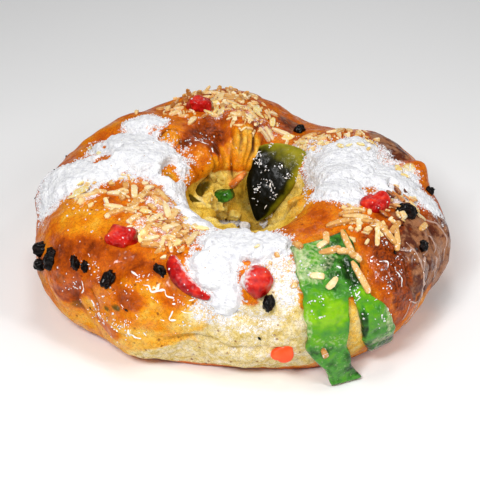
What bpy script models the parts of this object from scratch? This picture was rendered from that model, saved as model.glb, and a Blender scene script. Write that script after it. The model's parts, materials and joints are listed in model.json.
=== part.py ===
"""Bolo rei: a festive ring loaf with candied fruit, slivered almonds and heaps of icing sugar.

Metres, +Z up, the loaf standing on z = 0 round the Z axis. A place on the loaf is given by two angles in
degrees: "angle" goes round the ring (0 at +X, 90 at +Y) and "turn" goes round the dough's section
(0 on the outside, 90 on the crest, 180 in the hole).
"""

import math
import random

import bmesh
import bpy
import numpy as np
from mathutils import Matrix, Vector, noise
from mathutils.bvhtree import BVHTree

# The ring at twelve stations, one every 30 degrees of angle, starting at +X.
OUTER_RADIUS = (0.127, 0.129, 0.121, 0.124, 0.124, 0.127, 0.125, 0.132, 0.122, 0.116, 0.129, 0.131)
CREST_HEIGHT = (0.071, 0.071, 0.062, 0.078, 0.077, 0.076, 0.077, 0.074, 0.074, 0.075, 0.073, 0.076)
HOLE_RADIUS = (0.024, 0.022, 0.020, 0.019, 0.019, 0.018, 0.017, 0.017, 0.019, 0.022, 0.024, 0.026)
CREST_SHARE = (0.47, 0.47, 0.47, 0.47, 0.47, 0.47, 0.47, 0.49, 0.54, 0.58, 0.56, 0.50)  # from hole to outside
LIP_TURN = (130, 124, 128, 148, 144, 142, 135, 126, 118, 114, 110, 120)  # where crust gives way to pale wall
LIP_STEP = (0.0010, 0.0010, 0.0015, 0.0030, 0.0045, 0.0040, 0.0030, 0.0020, 0.0010, 0.0010, 0.0015, 0.0015)
WAIST_SHARE = 0.45  # height of the widest place, as a share of the crest's height
FOOT_TURN = 52.0  # the section meets the table this far below its waist, in degrees
SIDE_POWER = 0.85  # below 1 the sides bulge more than an ellipse
TOP_POWER = 0.95
SECTION_REACH = 0.046  # metres of crust for each radian of turn
FOOT_FADE = 14.0  # degrees above the table over which lumps and folds fade out
LIP_REACH = 7.0  # degrees over which crust gives way to pale wall
PLEATS = 11  # round the wall of the hole
PLEAT_HEIGHT = 0.0013
UNEVEN = ((0.0020, 0.030, 1), (0.0008, 0.011, 2))  # height, size and seed of the dough's unevenness

GAP = 0.0003  # between neighbouring solids
RING_STEPS = 80
SECTION_STEPS = 26

# Swellings of the dough: angle, turn, reach along the ring, reach round the section, height.
LUMPS = (
    (143, 96, 0.020, 0.022, 0.0045),
    (142, 134, 0.018, 0.012, 0.0060),
    (118, 70, 0.030, 0.026, 0.0030),
    (94, 118, 0.014, 0.026, 0.0035),
    (62, 104, 0.024, 0.018, 0.0025),
    (32, 74, 0.020, 0.020, 0.0025),
    (5, 51, 0.0085, 0.0095, 0.0085),
    (14, 96, 0.030, 0.026, 0.0030),
    (318, 104, 0.016, 0.020, 0.0035),
    (324, 38, 0.030, 0.026, 0.0030),
    (200, 76, 0.036, 0.030, 0.0030),
    (212, 44, 0.024, 0.018, 0.0030),
    (246, 32, 0.026, 0.020, 0.0035),
    (270, 128, 0.040, 0.024, -0.0110),
    (236, 134, 0.022, 0.016, -0.0040),
    (306, 132, 0.022, 0.016, -0.0040),
    (250, 140, 0.012, 0.014, 0.0050),
    (280, -12, 0.026, 0.012, 0.0025),
    (172, 28, 0.024, 0.020, 0.0025),
    (88, 30, 0.034, 0.024, 0.0030),
    (40, 24, 0.028, 0.022, -0.0020),
    (225, -10, 0.014, 0.020, -0.0050),
    (238, -14, 0.014, 0.020, 0.0055),
    (247, -18, 0.010, 0.018, 0.0030),
    (256, -18, 0.012, 0.018, -0.0040),
    (272, -22, 0.016, 0.016, 0.0030),
    (329, -8, 0.016, 0.020, -0.0035),
    (347, 10, 0.018, 0.022, 0.0035),
    (9, 30, 0.012, 0.016, -0.0040),
    (178, 30, 0.016, 0.020, 0.0040),
    (171, 40, 0.012, 0.018, -0.0030),
    (126, 70, 0.014, 0.020, -0.0035),
    (22, 146, 0.016, 0.024, -0.0095),
    (268, 104, 0.030, 0.020, -0.0035),
)

# Folds where two lobes of dough meet: depth, half width, then the places that the fold passes.
CREASES = (
    (0.0065, 0.0045, ((157, 40), (154, 70), (151, 100), (154, 122), (158, 142))),
    (0.0045, 0.0040, ((106, 78), (104, 104), (108, 128), (112, 158))),
    (0.0040, 0.0035, ((126, 118), (131, 146), (134, 172))),
    (0.0040, 0.0040, ((70, 92), (66, 122), (72, 150))),
    (0.0040, 0.0040, ((338, 118), (334, 142), (338, 170))),
    (0.0045, 0.0050, ((14, 34), (11, 52), (12, 70))),
    (0.0035, 0.0045, ((221, 46), (224, 28), (221, 4), (223, -22))),
    (0.0030, 0.0050, ((236, 52), (233, 34), (238, 12))),
    (0.0032, 0.0022, ((244, 0), (250, -8), (256, -6), (262, -5), (268, -11), (276, -8), (285, -10))),
    (0.0026, 0.0024, ((265, 22), (274, 14), (283, 16))),
    (0.0035, 0.0050, ((344, 62), (338, 36), (340, 8), (336, -20))),
    (0.0030, 0.0045, ((60, 44), (56, 16), (58, -14))),
    (0.0030, 0.0045, ((186, 6), (176, 0), (166, -6))),
    (0.0030, 0.0045, ((112, 30), (106, 8), (98, -10))),
)

# Heaps of icing sugar, each a few overlapping drifts: angle, turn, reach along, reach round, depth.
SUGAR = {
    "sugar_left": (
        (177, 102, 0.021, 0.020, 0.0055),
        (186, 62, 0.017, 0.028, 0.0040),
        (165, 88, 0.014, 0.018, 0.0045),
        (208, 121, 0.015, 0.009, 0.0040),
        (233, 115, 0.011, 0.007, 0.0035),
        (247, 106, 0.009, 0.008, 0.0035),
    ),
    "sugar_front": (
        (268, 80, 0.020, 0.018, 0.0050),
        (262, 55, 0.013, 0.018, 0.0045),
        (266, 34, 0.008, 0.013, 0.0030),
        (281, 84, 0.012, 0.013, 0.0040),
    ),
    "sugar_right": (
        (357, 103, 0.028, 0.018, 0.0060),
        (331, 101, 0.014, 0.012, 0.0040),
        (352, 76, 0.018, 0.020, 0.0036),
        (14, 95, 0.014, 0.014, 0.0040),
        (349, 48, 0.009, 0.014, 0.0020),
    ),
    "sugar_back": (
        (144, 88, 0.010, 0.007, 0.0026),
        (147, 82, 0.007, 0.006, 0.0022),
    ),
}
SUGAR_NEIGHBOURS = {
    "sugar_front": ("cherry_front", "cherry_strip", "citron"),
    "sugar_right": ("hole_fruit", "cherry_right"),
    "sugar_left": ("sugar_front",),
    "sugar_back": ("sugar_left",),
}
SUGAR_GRID = (20, 13)  # columns and rows of a large heap
SMALL_SUGAR_GRID = (10, 8)
SUGAR_EDGE = 0.30  # share of a drift's reach over which its edge rises
SUGAR_SINK = 0.0015  # how far a drift's bed starts under the crust before it is cut to fit

# Candied cherries: angle, turn, length, width, height, yaw of the long axis in degrees.
CHERRIES = {
    "cherry_left": (227.8, 66, 0.0180, 0.0145, 0.0072, 10),
    "cherry_front": (275, 46, 0.0175, 0.0180, 0.0095, 40),
    "cherry_right": (329, 78, 0.0180, 0.0145, 0.0072, 150),
    "cherry_back": (111, 87, 0.0170, 0.0140, 0.0085, 0),
}
CHERRY_STRIP_ROUTE = ((248.0, 62), (249.5, 54), (252.0, 46), (256.0, 38), (261.5, 31))
CHERRY_STRIP_WIDTH = 0.0100
CHERRY_STRIP_HEIGHT = 0.0050
CHERRY_STRIP_DEPTH = 0.0025  # below the crust, before it is cut to fit
CHERRY_STRIP_STATIONS = 9
CHERRY_STRIP_SHARES = (-1, -0.72, -0.25, 0.25, 0.72, 1)  # places across it, as shares of its half width
PEEL_CHIP = (281.5, -12, 0.0120, 0.0110, 0.0026, 10)

# Raisins: angle, turn, length, width, height, yaw.
RAISINS = (
    (206.0, 23, 0.0092, 0.0072, 0.0052, 80),
    (207.5, 12, 0.0084, 0.0072, 0.0050, 20),
    (212.0, 25, 0.0125, 0.0066, 0.0052, 95),
    (220.3, 34, 0.0088, 0.0050, 0.0040, 130),
    (223.0, 35, 0.0066, 0.0044, 0.0036, 110),
    (231.5, 32, 0.0110, 0.0064, 0.0050, 80),
    (245.8, 49, 0.0098, 0.0048, 0.0036, 150),
    (277.8, 29, 0.0090, 0.0060, 0.0048, 90),
    (333.0, 60, 0.0125, 0.0080, 0.0058, 100),
    (327.8, 35, 0.0062, 0.0052, 0.0042, 70),
    (58.5, 84, 0.0072, 0.0064, 0.0050, 60),
    (357.5, 40, 0.0056, 0.0048, 0.0036, 90),
)

# The slab of candied citron over the front right, split into two legs below its middle. Each row gives
# turn, left edge, left leg's inner edge, right leg's inner edge and right edge, in degrees of angle.
CITRON_ROWS = (
    (80, 288.2, 298.0, 299.6, 308.2),
    (70, 287.2, 298.4, 299.8, 307.8),
    (58, 286.8, 298.6, 300.0, 305.4),
    (42, 286.6, 298.8, 300.0, 303.6),
    (28, 286.8, 298.6, 300.2, 304.4),
    (14, 287.0, 298.0, 300.8, 308.4),
    (2, 287.2, 297.6, 301.2, 309.8),
    (-8, 287.4, 297.4, 301.6, 310.8),
)
CITRON_SLIT_TURN = 30  # the slab is split below this turn
CITRON_THICKNESS = 0.0034
CITRON_WAVE = 0.0008  # height of the slab's waves
CITRON_BED = 0.0010  # how far its lower face starts under the crust before it is cut to fit
CITRON_TAIL_BOW = 0.0015
CITRON_LEG_COLUMNS = (6, 4)
CITRON_ROW_COUNT = 10
CITRON_TAIL_ROWS = 3
CITRON_TIPS = ((0.0600, -0.1155, 0.0015), (0.0790, -0.0985, 0.0130))  # middle of each leg's end
CITRON_TIP_WIDTHS = (0.0175, 0.0165)

# The dark green candied fruit that leans in the hole: its two ends, width and thickness.
FRUIT_TOP = (0.0425, 0.0270, 0.0680)
FRUIT_FOOT = (0.0105, 0.0105, 0.0270)
FRUIT_WIDTH = 0.036
FRUIT_BOW = 0.0115  # how far its middle line bows away from the straight side
FRUIT_THICKNESS = 0.013
FRUIT_FACING = (-0.35, -0.78, 0.52)  # the way that its broad side looks
FRUIT_STATIONS = 12
FRUIT_SPOKES = 12
FRUIT_CUBE = (116, 173, 0.0130, 0.0080, 0.0060, 8)

# Slivered almonds in drifts: angle, turn, spread along, spread round, count, shortest, longest.
ALMOND_DRIFTS = (
    (211, 94, 0.020, 0.016, 22, 0.007, 0.016),
    (232, 90, 0.020, 0.018, 26, 0.006, 0.013),
    (242, 74, 0.012, 0.012, 12, 0.006, 0.012),
    (200, 76, 0.012, 0.010, 8, 0.007, 0.014),
    (317, 86, 0.012, 0.010, 14, 0.009, 0.016),
    (318, 62, 0.008, 0.014, 8, 0.009, 0.017),
    (338, 58, 0.012, 0.014, 12, 0.007, 0.015),
    (86, 102, 0.020, 0.018, 16, 0.007, 0.014),
    (97, 82, 0.026, 0.010, 16, 0.007, 0.015),
    (125, 84, 0.014, 0.012, 6, 0.007, 0.013),
    (38, 100, 0.020, 0.012, 12, 0.006, 0.012),
    (30, 82, 0.014, 0.010, 7, 0.008, 0.016),
)
# The longest slivers: angle, turn, yaw, length.
LONG_SLIVERS = (
    (222.4, 60, 85, 0.0215),
    (216.0, 90, 118, 0.0180),
    (218.0, 88, 120, 0.0150),
    (319.0, 62, 80, 0.0185),
    (322.6, 66, 74, 0.0165),
    (326.0, 60, 70, 0.0180),
    (64.0, 93, 0, 0.0170),
    (122.0, 99, 38, 0.0120),
    (251.0, 84, 92, 0.0170),
)
# Slivers on the citron: angle, turn, yaw, length.
CITRON_SLIVERS = (
    (304.8, 68, 74, 0.0200),
    (303.0, 43, 100, 0.0200),
    (300.0, 78, 60, 0.0090),
    (297.4, 74, 20, 0.0070),
    (298.4, 68, 175, 0.0130),
    (301.6, 64, 160, 0.0065),
    (291.6, 50, 170, 0.0080),
    (295.0, 44, 40, 0.0085),
    (304.2, 58, 120, 0.0090),
    (289.6, 77, 130, 0.0070),
    (291.5, -9, 110, 0.0075),
)
ALMOND_WIDTH = 0.0034
ALMOND_THICKNESS = 0.0022
LONG_SLIVER = 0.0120
ALMOND_CLEAR = 0.0026  # least distance from an almond's middle line to another piece
ALMOND_SPACING = 0.0034  # least distance between the middles of two almonds
ALMOND_SEED = 7
ALMOND_SINK = 0.22  # height of a sliver's middle over the crust, as a share of its thickness

# Detail of the rounded pieces: depth below the crust as a share of the height, bumps as a share of the
# size, rings and spokes.
CHERRY_SHAPE = (0.15, 0.10, 7, 12)
RAISIN_SHAPE = (0.25, 0.30, 5, 8)
CHIP_SHAPE = (0.0, 0.12, 4, 8)
CUBE_SHAPE = (0.0, 0.15, 4, 8)

CRUST = (0.72, 0.33, 0.07)
ICING_SUGAR = (0.93, 0.93, 0.95)
CHERRY_RED = (0.72, 0.03, 0.02)
CITRON_GREEN = (0.10, 0.38, 0.03)
FIG_GREEN = (0.06, 0.08, 0.01)
RAISIN_BLACK = (0.02, 0.012, 0.01)
PEEL_ORANGE = (0.90, 0.20, 0.03)


def clear_scene():
    """Removes what the scene starts with."""
    for thing in list(bpy.data.objects):
        bpy.data.objects.remove(thing)


def finish(name, colour, roughness):
    """A plain Principled material."""
    made = bpy.data.materials.new(name)
    made.use_nodes = True
    shader = made.node_tree.nodes["Principled BSDF"]
    shader.inputs["Base Color"].default_value = (*colour, 1.0)
    shader.inputs["Roughness"].default_value = roughness
    shader.inputs["Metallic"].default_value = 0.0
    return made


def around(values, angle):
    """Smooth periodic value at an angle, through the stations' values."""
    stations = np.asarray(values, float)
    count = len(stations)
    place = (np.asarray(angle, float) % 360.0) / (360.0 / count)
    first = np.floor(place).astype(int)
    share = place - first
    before, here = stations[(first - 1) % count], stations[first % count]
    after, beyond = stations[(first + 1) % count], stations[(first + 2) % count]
    return 0.5 * (
        2 * here
        + (after - before) * share
        + (2 * before - 5 * here + 4 * after - beyond) * share**2
        + (3 * here - before - 3 * after + beyond) * share**3
    )


def smooth_section(angle, turn):
    """Point of the ring before any lump or fold, as an array of x, y, z."""
    angle, turn = np.broadcast_arrays(np.asarray(angle, float), np.asarray(turn, float))
    outer, hole = around(OUTER_RADIUS, angle), around(HOLE_RADIUS, angle)
    height = around(CREST_HEIGHT, angle)
    middle = hole + (outer - hole) * around(CREST_SHARE, angle)
    cosine, sine = np.cos(np.radians(turn)), np.sin(np.radians(turn))
    reach = np.where(cosine > 0, outer - middle, middle - hole)
    radius = middle + reach * np.sign(cosine) * np.abs(cosine) ** SIDE_POWER
    waist = WAIST_SHARE * height
    over = waist + (height - waist) * np.abs(sine) ** TOP_POWER
    under = waist * (1 - np.abs(sine) / math.sin(math.radians(FOOT_TURN)))
    z = np.where(sine > 0, over, under)
    return np.stack([radius * np.cos(np.radians(angle)), radius * np.sin(np.radians(angle)), z], -1)


def outward(shape, angle, turn):
    """Unit normal of a shape given as a function of angle and turn."""
    step = 0.6
    along = shape(angle + step, turn) - shape(angle - step, turn)
    up = shape(angle, turn + step) - shape(angle, turn - step)
    normal = np.cross(along, up)
    return normal / np.maximum(np.linalg.norm(normal, axis=-1, keepdims=True), 1e-12)


def offsets(angle, turn, place_angle, place_turn, radius):
    """Metres along the ring and round the section from a place to each point."""
    along = ((angle - place_angle + 180.0) % 360.0 - 180.0) * math.pi / 180.0 * radius
    return along, (turn - place_turn) * math.pi / 180.0 * SECTION_REACH


def crease_depth(angle, turn, radius, depth, width, route):
    """Depth of one fold, fading towards its two ends."""
    nearest = np.full(angle.shape, 1e9)
    fade = np.ones(angle.shape)
    last = len(route) - 1
    for number, (start, end) in enumerate(zip(route, route[1:])):
        run, rise = offsets(np.float64(end[0]), np.float64(end[1]), start[0], start[1], radius)
        along, up = offsets(angle, turn, start[0], start[1], radius)
        share = np.clip((along * run + up * rise) / (run**2 + rise**2), 0, 1)
        distance = np.hypot(along - share * run, up - share * rise)
        passed = (number + share) / last
        closer = distance < nearest
        fade = np.where(closer, np.sin(math.pi * np.clip(passed, 0.06, 0.94)) ** 0.5, fade)
        nearest = np.minimum(nearest, distance)
    return depth * fade * np.exp(-((nearest / width) ** 2))


def dough_noise(points, size, seed):
    """Smooth seeded noise of about -1 to 1, with features of the given size."""
    flat = points.reshape(-1, 3) / size + seed * 7.31
    return np.array([noise.noise(Vector(p)) for p in flat]).reshape(points.shape[:-1])


def relief(angle, turn, base):
    """Height of the crust over the smooth ring: lumps, folds, pleats in the hole and uneven dough."""
    radius = np.hypot(base[..., 0], base[..., 1])
    height = np.zeros(angle.shape)
    for place_angle, place_turn, reach_along, reach_round, lift in LUMPS:
        along, up = offsets(angle, turn, place_angle, place_turn, radius)
        height += lift * np.exp(-((along / reach_along) ** 2) - (up / reach_round) ** 2)
    for depth, width, route in CREASES:
        height -= crease_depth(angle, turn, radius, depth, width, route)
    past_lip = np.clip((turn - around(LIP_TURN, angle)) / LIP_REACH, 0, 1)
    height -= around(LIP_STEP, angle) * past_lip**2 * (3 - 2 * past_lip)
    sway = 2.2 * np.sin(np.radians(angle) * 3)
    height += PLEAT_HEIGHT * past_lip * np.sin(np.radians(angle) * PLEATS + sway)
    for rise, size, seed in UNEVEN:
        height += rise * dough_noise(base, size, seed)
    foot = np.clip((np.minimum(turn + FOOT_TURN, 180.0 + FOOT_TURN - turn)) / FOOT_FADE, 0, 1)
    return height * foot


def crust(angle, turn, lift=0.0):
    """Point on the loaf's crust, or lifted off it along the smooth ring's normal."""
    angle, turn = np.broadcast_arrays(np.asarray(angle, float), np.asarray(turn, float))
    base = smooth_section(angle, turn)
    rise = relief(angle, turn, base) + lift
    return base + outward(smooth_section, angle, turn) * rise[..., None]


def mesh_object(name, points, faces, material=None):
    """A new object from points and faces, smooth-shaded."""
    mesh = bpy.data.meshes.new(name)
    mesh.from_pydata([tuple(map(float, p)) for p in points], [], faces)
    mesh.update()
    made = bpy.data.objects.new(name, mesh)
    bpy.context.scene.collection.objects.link(made)
    if material:
        mesh.materials.append(material)
    mesh.shade_smooth()
    mesh.set_sharp_from_angle(angle=math.radians(50))
    return made


def ring_object(name, lift, material=None):
    """The whole loaf as a closed mesh, lifted off the crust, with a flat underside."""
    angles = np.arange(RING_STEPS) * 360.0 / RING_STEPS
    turns = np.linspace(180.0 + FOOT_TURN, -FOOT_TURN, SECTION_STEPS)
    ring, around_section = np.meshgrid(angles, turns, indexing="ij")
    points = crust(ring, around_section, lift)
    points[:, (0, -1), 2] = -lift
    faces = []
    for i in range(RING_STEPS):
        here, beside = i * SECTION_STEPS, (i + 1) % RING_STEPS * SECTION_STEPS
        for j in range(SECTION_STEPS):
            above = (j + 1) % SECTION_STEPS
            faces.append((here + j, here + above, beside + above))
            faces.append((here + j, beside + above, beside + j))
    return mesh_object(name, points.reshape(-1, 3), faces, material)


def seat(angle, turn, yaw=0.0, lift=0.0):
    """Matrix of a place on the crust: X along the ring, Z outwards, turned by yaw about Z."""
    origin = Vector(crust(angle, turn, lift))
    up = Vector(outward(crust, np.float64(angle), np.float64(turn)))
    along = Vector(crust(angle + 1.0, turn) - crust(angle - 1.0, turn)).normalized()
    along = (along - up * along.dot(up)).normalized()
    across = up.cross(along)
    turned = Matrix((along, across, up)).transposed().to_4x4() @ Matrix.Rotation(math.radians(yaw), 4, "Z")
    return Matrix.Translation(origin) @ turned


def keep_largest(mesh):
    """Drops every loose scrap but the largest body of a mesh, where bodies share no edge."""
    bm = bmesh.new()
    bm.from_mesh(mesh)
    bmesh.ops.triangulate(bm, faces=bm.faces)
    left, bodies = set(bm.faces), []
    while left:
        first = left.pop()
        body, front = {first}, [first]
        while front:
            for edge in front.pop().edges:
                for face in edge.link_faces:
                    if face in left:
                        left.discard(face)
                        body.add(face)
                        front.append(face)
        bodies.append(body)
    bodies.sort(key=len, reverse=True)
    scraps = [face for body in bodies[1:] for face in body]
    bmesh.ops.delete(bm, geom=scraps, context="FACES")
    bm.to_mesh(mesh)
    bm.free()


def cut_to_fit(piece, cutters):
    """Cuts each cutter from a piece and keeps its largest part."""
    for number, cutter in enumerate(cutters):
        cut = piece.modifiers.new(f"fit_{number}", "BOOLEAN")
        cut.operation = "DIFFERENCE"
        cut.object = cutter
    graph = bpy.context.evaluated_depsgraph_get()
    fitted = bpy.data.meshes.new_from_object(piece.evaluated_get(graph))
    piece.modifiers.clear()
    keep_largest(fitted)
    piece.data = fitted


def grown(piece):
    """A hidden copy of a piece, a little fatter, that cuts its neighbours clear of it."""
    fatter = bpy.data.objects.new(f"{piece.name}_room", piece.data.copy())
    bpy.context.scene.collection.objects.link(fatter)
    normals = [v.normal.copy() for v in piece.data.vertices]
    for vertex, normal in zip(fatter.data.vertices, normals):
        vertex.co += normal * GAP * 1.5
    fatter.hide_render = True
    fatter.display_type = "WIRE"
    return fatter


def blob(name, piece, shape, material, seed=0):
    """A rounded lump on the crust, from its row of place and size and its kind's row of shape."""
    angle, turn, length, width, height, yaw = piece
    sink_share, bumps, rings, spokes = shape
    place = seat(angle, turn, yaw)
    points = [(0, 0, height)]
    for i in range(1, rings):
        fall = math.pi * i / rings
        for j in range(spokes):
            spin = math.tau * j / spokes
            points.append((length / 2 * math.sin(fall) * math.cos(spin),
                           width / 2 * math.sin(fall) * math.sin(spin),
                           height * math.cos(fall)))
    points.append((0, 0, -height))
    faces = [(0, 1 + j, 1 + (j + 1) % spokes) for j in range(spokes)]
    for i in range(rings - 2):
        for j in range(spokes):
            here, beside = 1 + i * spokes + j, 1 + i * spokes + (j + 1) % spokes
            faces.append((here, here + spokes, beside + spokes, beside))
    end, last = len(points) - 1, 1 + (rings - 2) * spokes
    faces += [(end, last + (j + 1) % spokes, last + j) for j in range(spokes)]
    shaped = []
    for point in points:
        rough = 1 + bumps * noise.noise(Vector(point) / length * 3.0 + Vector((seed, 0, 0)))
        shaped.append(place @ (Vector(point) * rough - Vector((0, 0, height * sink_share))))
    return mesh_object(name, shaped, faces, material)


def sugar_depth(drifts, angle, turn):
    """Depth of a sugar heap over the crust, negative outside it."""
    base = smooth_section(angle, turn)
    radius = np.hypot(base[..., 0], base[..., 1])
    ragged = 0.22 * dough_noise(base, 0.010, 5) + 0.14 * dough_noise(base, 0.005, 6)
    best = np.full(angle.shape, -SUGAR_SINK)
    for place_angle, place_turn, reach_along, reach_round, depth in drifts:
        along, up = offsets(angle, turn, place_angle, place_turn, radius)
        inside = 1.0 - np.hypot(along / reach_along, up / reach_round) + ragged
        steep = np.clip(inside / SUGAR_EDGE, -1, 1)
        mound = depth * np.sin(np.clip(steep, 0, 1) * math.pi / 2) ** 0.8
        best = np.maximum(best, np.where(inside > 0, mound, SUGAR_SINK * steep))
    return best


def sugar_extent(drifts):
    """Least and greatest angle and turn that a heap may reach."""
    angles, turns = [], []
    centre = drifts[0][0]
    for place_angle, place_turn, reach_along, reach_round, _depth in drifts:
        middle = centre + (place_angle - centre + 180.0) % 360.0 - 180.0
        ring = float(np.hypot(*smooth_section(place_angle, place_turn)[:2]))
        spread = math.degrees(reach_along * 1.35 / ring)
        rise = math.degrees(reach_round * 1.35 / SECTION_REACH)
        angles += [middle - spread, middle + spread]
        turns += [place_turn - rise, place_turn + rise]
    return min(angles), max(angles), min(turns), max(turns)


def turn_outwards(piece):
    """Makes all faces of a closed piece point out."""
    bm = bmesh.new()
    bm.from_mesh(piece.data)
    bmesh.ops.recalc_face_normals(bm, faces=bm.faces)
    bm.to_mesh(piece.data)
    bm.free()


def slab(name, top, bottom, quads, material):
    """A closed sheet between two lists of points, with a wall along every open edge of its quads."""
    under = len(top)
    faces, edges = [], {}
    for quad in quads:
        a, b, c, d = quad
        faces += [(a, b, c), (a, c, d), (under + a, under + c, under + b), (under + a, under + d, under + c)]
        for here, beside in zip(quad, quad[1:] + quad[:1]):
            if (beside, here) in edges:
                del edges[(beside, here)]
            else:
                edges[(here, beside)] = True
    for here, beside in edges:
        faces += [(here, under + here, under + beside), (here, under + beside, beside)]
    made = mesh_object(name, [*top, *bottom], faces, material)
    turn_outwards(made)
    return made


def grid_quads(rows, columns, start=0):
    """Quads of a grid of points numbered row by row."""
    quads = []
    for i in range(rows - 1):
        for j in range(columns - 1):
            corner = start + i * columns + j
            quads.append((corner, corner + 1, corner + columns + 1, corner + columns))
    return quads


def sugar_heap(name, material, clearance):
    """One heap of icing sugar, ragged at its edge, lying on the crust."""
    drifts = SUGAR[name]
    low_angle, high_angle, low_turn, high_turn = sugar_extent(drifts)
    columns, rows = SMALL_SUGAR_GRID if len(drifts) < 3 else SUGAR_GRID
    angles = np.linspace(low_angle, high_angle, columns)
    turns = np.linspace(low_turn, high_turn, rows)
    turn, angle = np.meshgrid(turns, angles, indexing="ij")
    depth = sugar_depth(drifts, angle, turn)
    top = crust(angle, turn, depth + GAP)
    bed = crust(angle, turn, -2 * SUGAR_SINK)
    heap = slab(name, top.reshape(-1, 3), bed.reshape(-1, 3), grid_quads(rows, columns), material)
    cut_to_fit(heap, clearance)
    return heap


def citron_edges(turn):
    """The four edges of the citron at a turn, in degrees of angle."""
    table = np.array(CITRON_ROWS)[::-1]
    return [float(np.interp(turn, table[:, 0], table[:, column])) for column in range(1, 5)]


def citron_slab(material, clearance):
    """The candied citron: draped over the crust, split into two legs whose ends hang clear."""
    turns = np.linspace(CITRON_ROWS[0][0], CITRON_ROWS[-1][0], CITRON_ROW_COUNT)
    columns = sum(CITRON_LEG_COLUMNS)
    top, bottom = [], []
    for turn in turns:
        edges = citron_edges(turn)
        angles = np.concatenate([np.linspace(edges[0], edges[1], CITRON_LEG_COLUMNS[0]),
                                 np.linspace(edges[2], edges[3], CITRON_LEG_COLUMNS[1])])
        wave = CITRON_WAVE * np.sin(np.linspace(0, 3 * math.pi, columns) + turn * 0.09)
        top.append(crust(angles, turn, CITRON_THICKNESS + wave))
        bottom.append(crust(angles, turn, -CITRON_BED))
    first = 0
    tails = []
    for leg, (tip, width) in enumerate(zip(CITRON_TIPS, CITRON_TIP_WIDTHS)):
        count = CITRON_LEG_COLUMNS[leg]
        start = top[-1][first:first + count]
        out = start.mean(0) * (1, 1, 0)
        out = out / np.linalg.norm(out)
        across = np.array((-out[1], out[0], 0))
        end = np.array(tip) + np.linspace(-0.5, 0.5, count)[:, None] * across * width
        rows = []
        for step in range(1, CITRON_TAIL_ROWS + 1):
            share = step / CITRON_TAIL_ROWS
            bow = out * CITRON_TAIL_BOW * math.sin(math.pi * share)
            rows.append(start * (1 - share) + end * share + bow)
        tails.append((rows, out))
        first += count
    for step in range(CITRON_TAIL_ROWS):
        top.append(np.concatenate([rows[step] for rows, _out in tails]))
        bottom.append(np.concatenate([rows[step] - out * CITRON_THICKNESS for rows, out in tails]))
    quads = grid_quads(len(top), columns)
    slit = CITRON_LEG_COLUMNS[0] - 1
    joined = sum(1 for turn in turns if turn > CITRON_SLIT_TURN) - 1
    quads = [quad for quad in quads if quad[0] % columns != slit or quad[0] // columns < joined]
    citron = slab("citron", np.concatenate(top), np.concatenate(bottom), quads, material)
    cut_to_fit(citron, clearance)
    return citron


def cherry_strip(material, clearance):
    """The long curved strip of candied cherry beside the front sugar."""
    route = np.array(CHERRY_STRIP_ROUTE, float)
    places = np.linspace(0, len(route) - 1, CHERRY_STRIP_STATIONS)
    last = CHERRY_STRIP_STATIONS - 1
    angles = np.interp(places, range(len(route)), route[:, 0])
    turns = np.interp(places, range(len(route)), route[:, 1])
    top, bottom = [], []
    for number, (angle, turn) in enumerate(zip(angles, turns)):
        middle = Vector(crust(angle, turn))
        after = Vector(crust(angles[min(number + 1, last)], turns[min(number + 1, last)]))
        before = Vector(crust(angles[max(number - 1, 0)], turns[max(number - 1, 0)]))
        up = Vector(outward(crust, np.float64(angle), np.float64(turn)))
        side = up.cross(after - before).normalized()
        full = math.sin(math.pi * (0.10 + 0.80 * number / last)) ** 0.6
        for share in CHERRY_STRIP_SHARES:
            rise = CHERRY_STRIP_HEIGHT * full * math.sqrt(1 - 0.96 * share**2)
            spot = middle + side * share * CHERRY_STRIP_WIDTH / 2 * full
            top.append(spot + up * rise)
            bottom.append(spot - up * CHERRY_STRIP_DEPTH)
    quads = grid_quads(CHERRY_STRIP_STATIONS, len(CHERRY_STRIP_SHARES))
    strip = slab("cherry_strip", top, bottom, quads, material)
    cut_to_fit(strip, clearance)
    return strip


def hole_fruit(name, material, clearance):
    """The candied fruit in the hole: pointed at the top, round in the middle, narrow at its foot."""
    top, foot = Vector(FRUIT_TOP), Vector(FRUIT_FOOT)
    axis = foot - top
    facing = Vector(FRUIT_FACING)
    facing = (facing - axis.normalized() * facing.dot(axis.normalized())).normalized()
    side = axis.normalized().cross(facing)
    stations, spokes = FRUIT_STATIONS, FRUIT_SPOKES
    points, faces = [top], []
    for i in range(1, stations):
        share = i / stations
        half = FRUIT_WIDTH / 2 * math.sin(math.pi * share**0.78) ** 0.7
        swell = FRUIT_THICKNESS / 2 * math.sin(math.pi * share**0.85) ** 0.6
        middle = top + axis * share + side * FRUIT_BOW * math.sin(math.pi * share**0.75)
        for j in range(spokes):
            spin = math.tau * j / spokes
            points.append(middle + side * half * math.cos(spin) + facing * swell * math.sin(spin))
    points.append(foot)
    faces += [(0, 1 + (j + 1) % spokes, 1 + j) for j in range(spokes)]
    for i in range(stations - 2):
        for j in range(spokes):
            here, beside = 1 + i * spokes + j, 1 + i * spokes + (j + 1) % spokes
            faces.append((here, beside, beside + spokes, here + spokes))
    end, row = len(points) - 1, 1 + (stations - 2) * spokes
    faces += [(end, row + j, row + (j + 1) % spokes) for j in range(spokes)]
    fruit = mesh_object(name, points, faces, material)
    turn_outwards(fruit)
    cut_to_fit(fruit, clearance)
    return fruit


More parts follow.
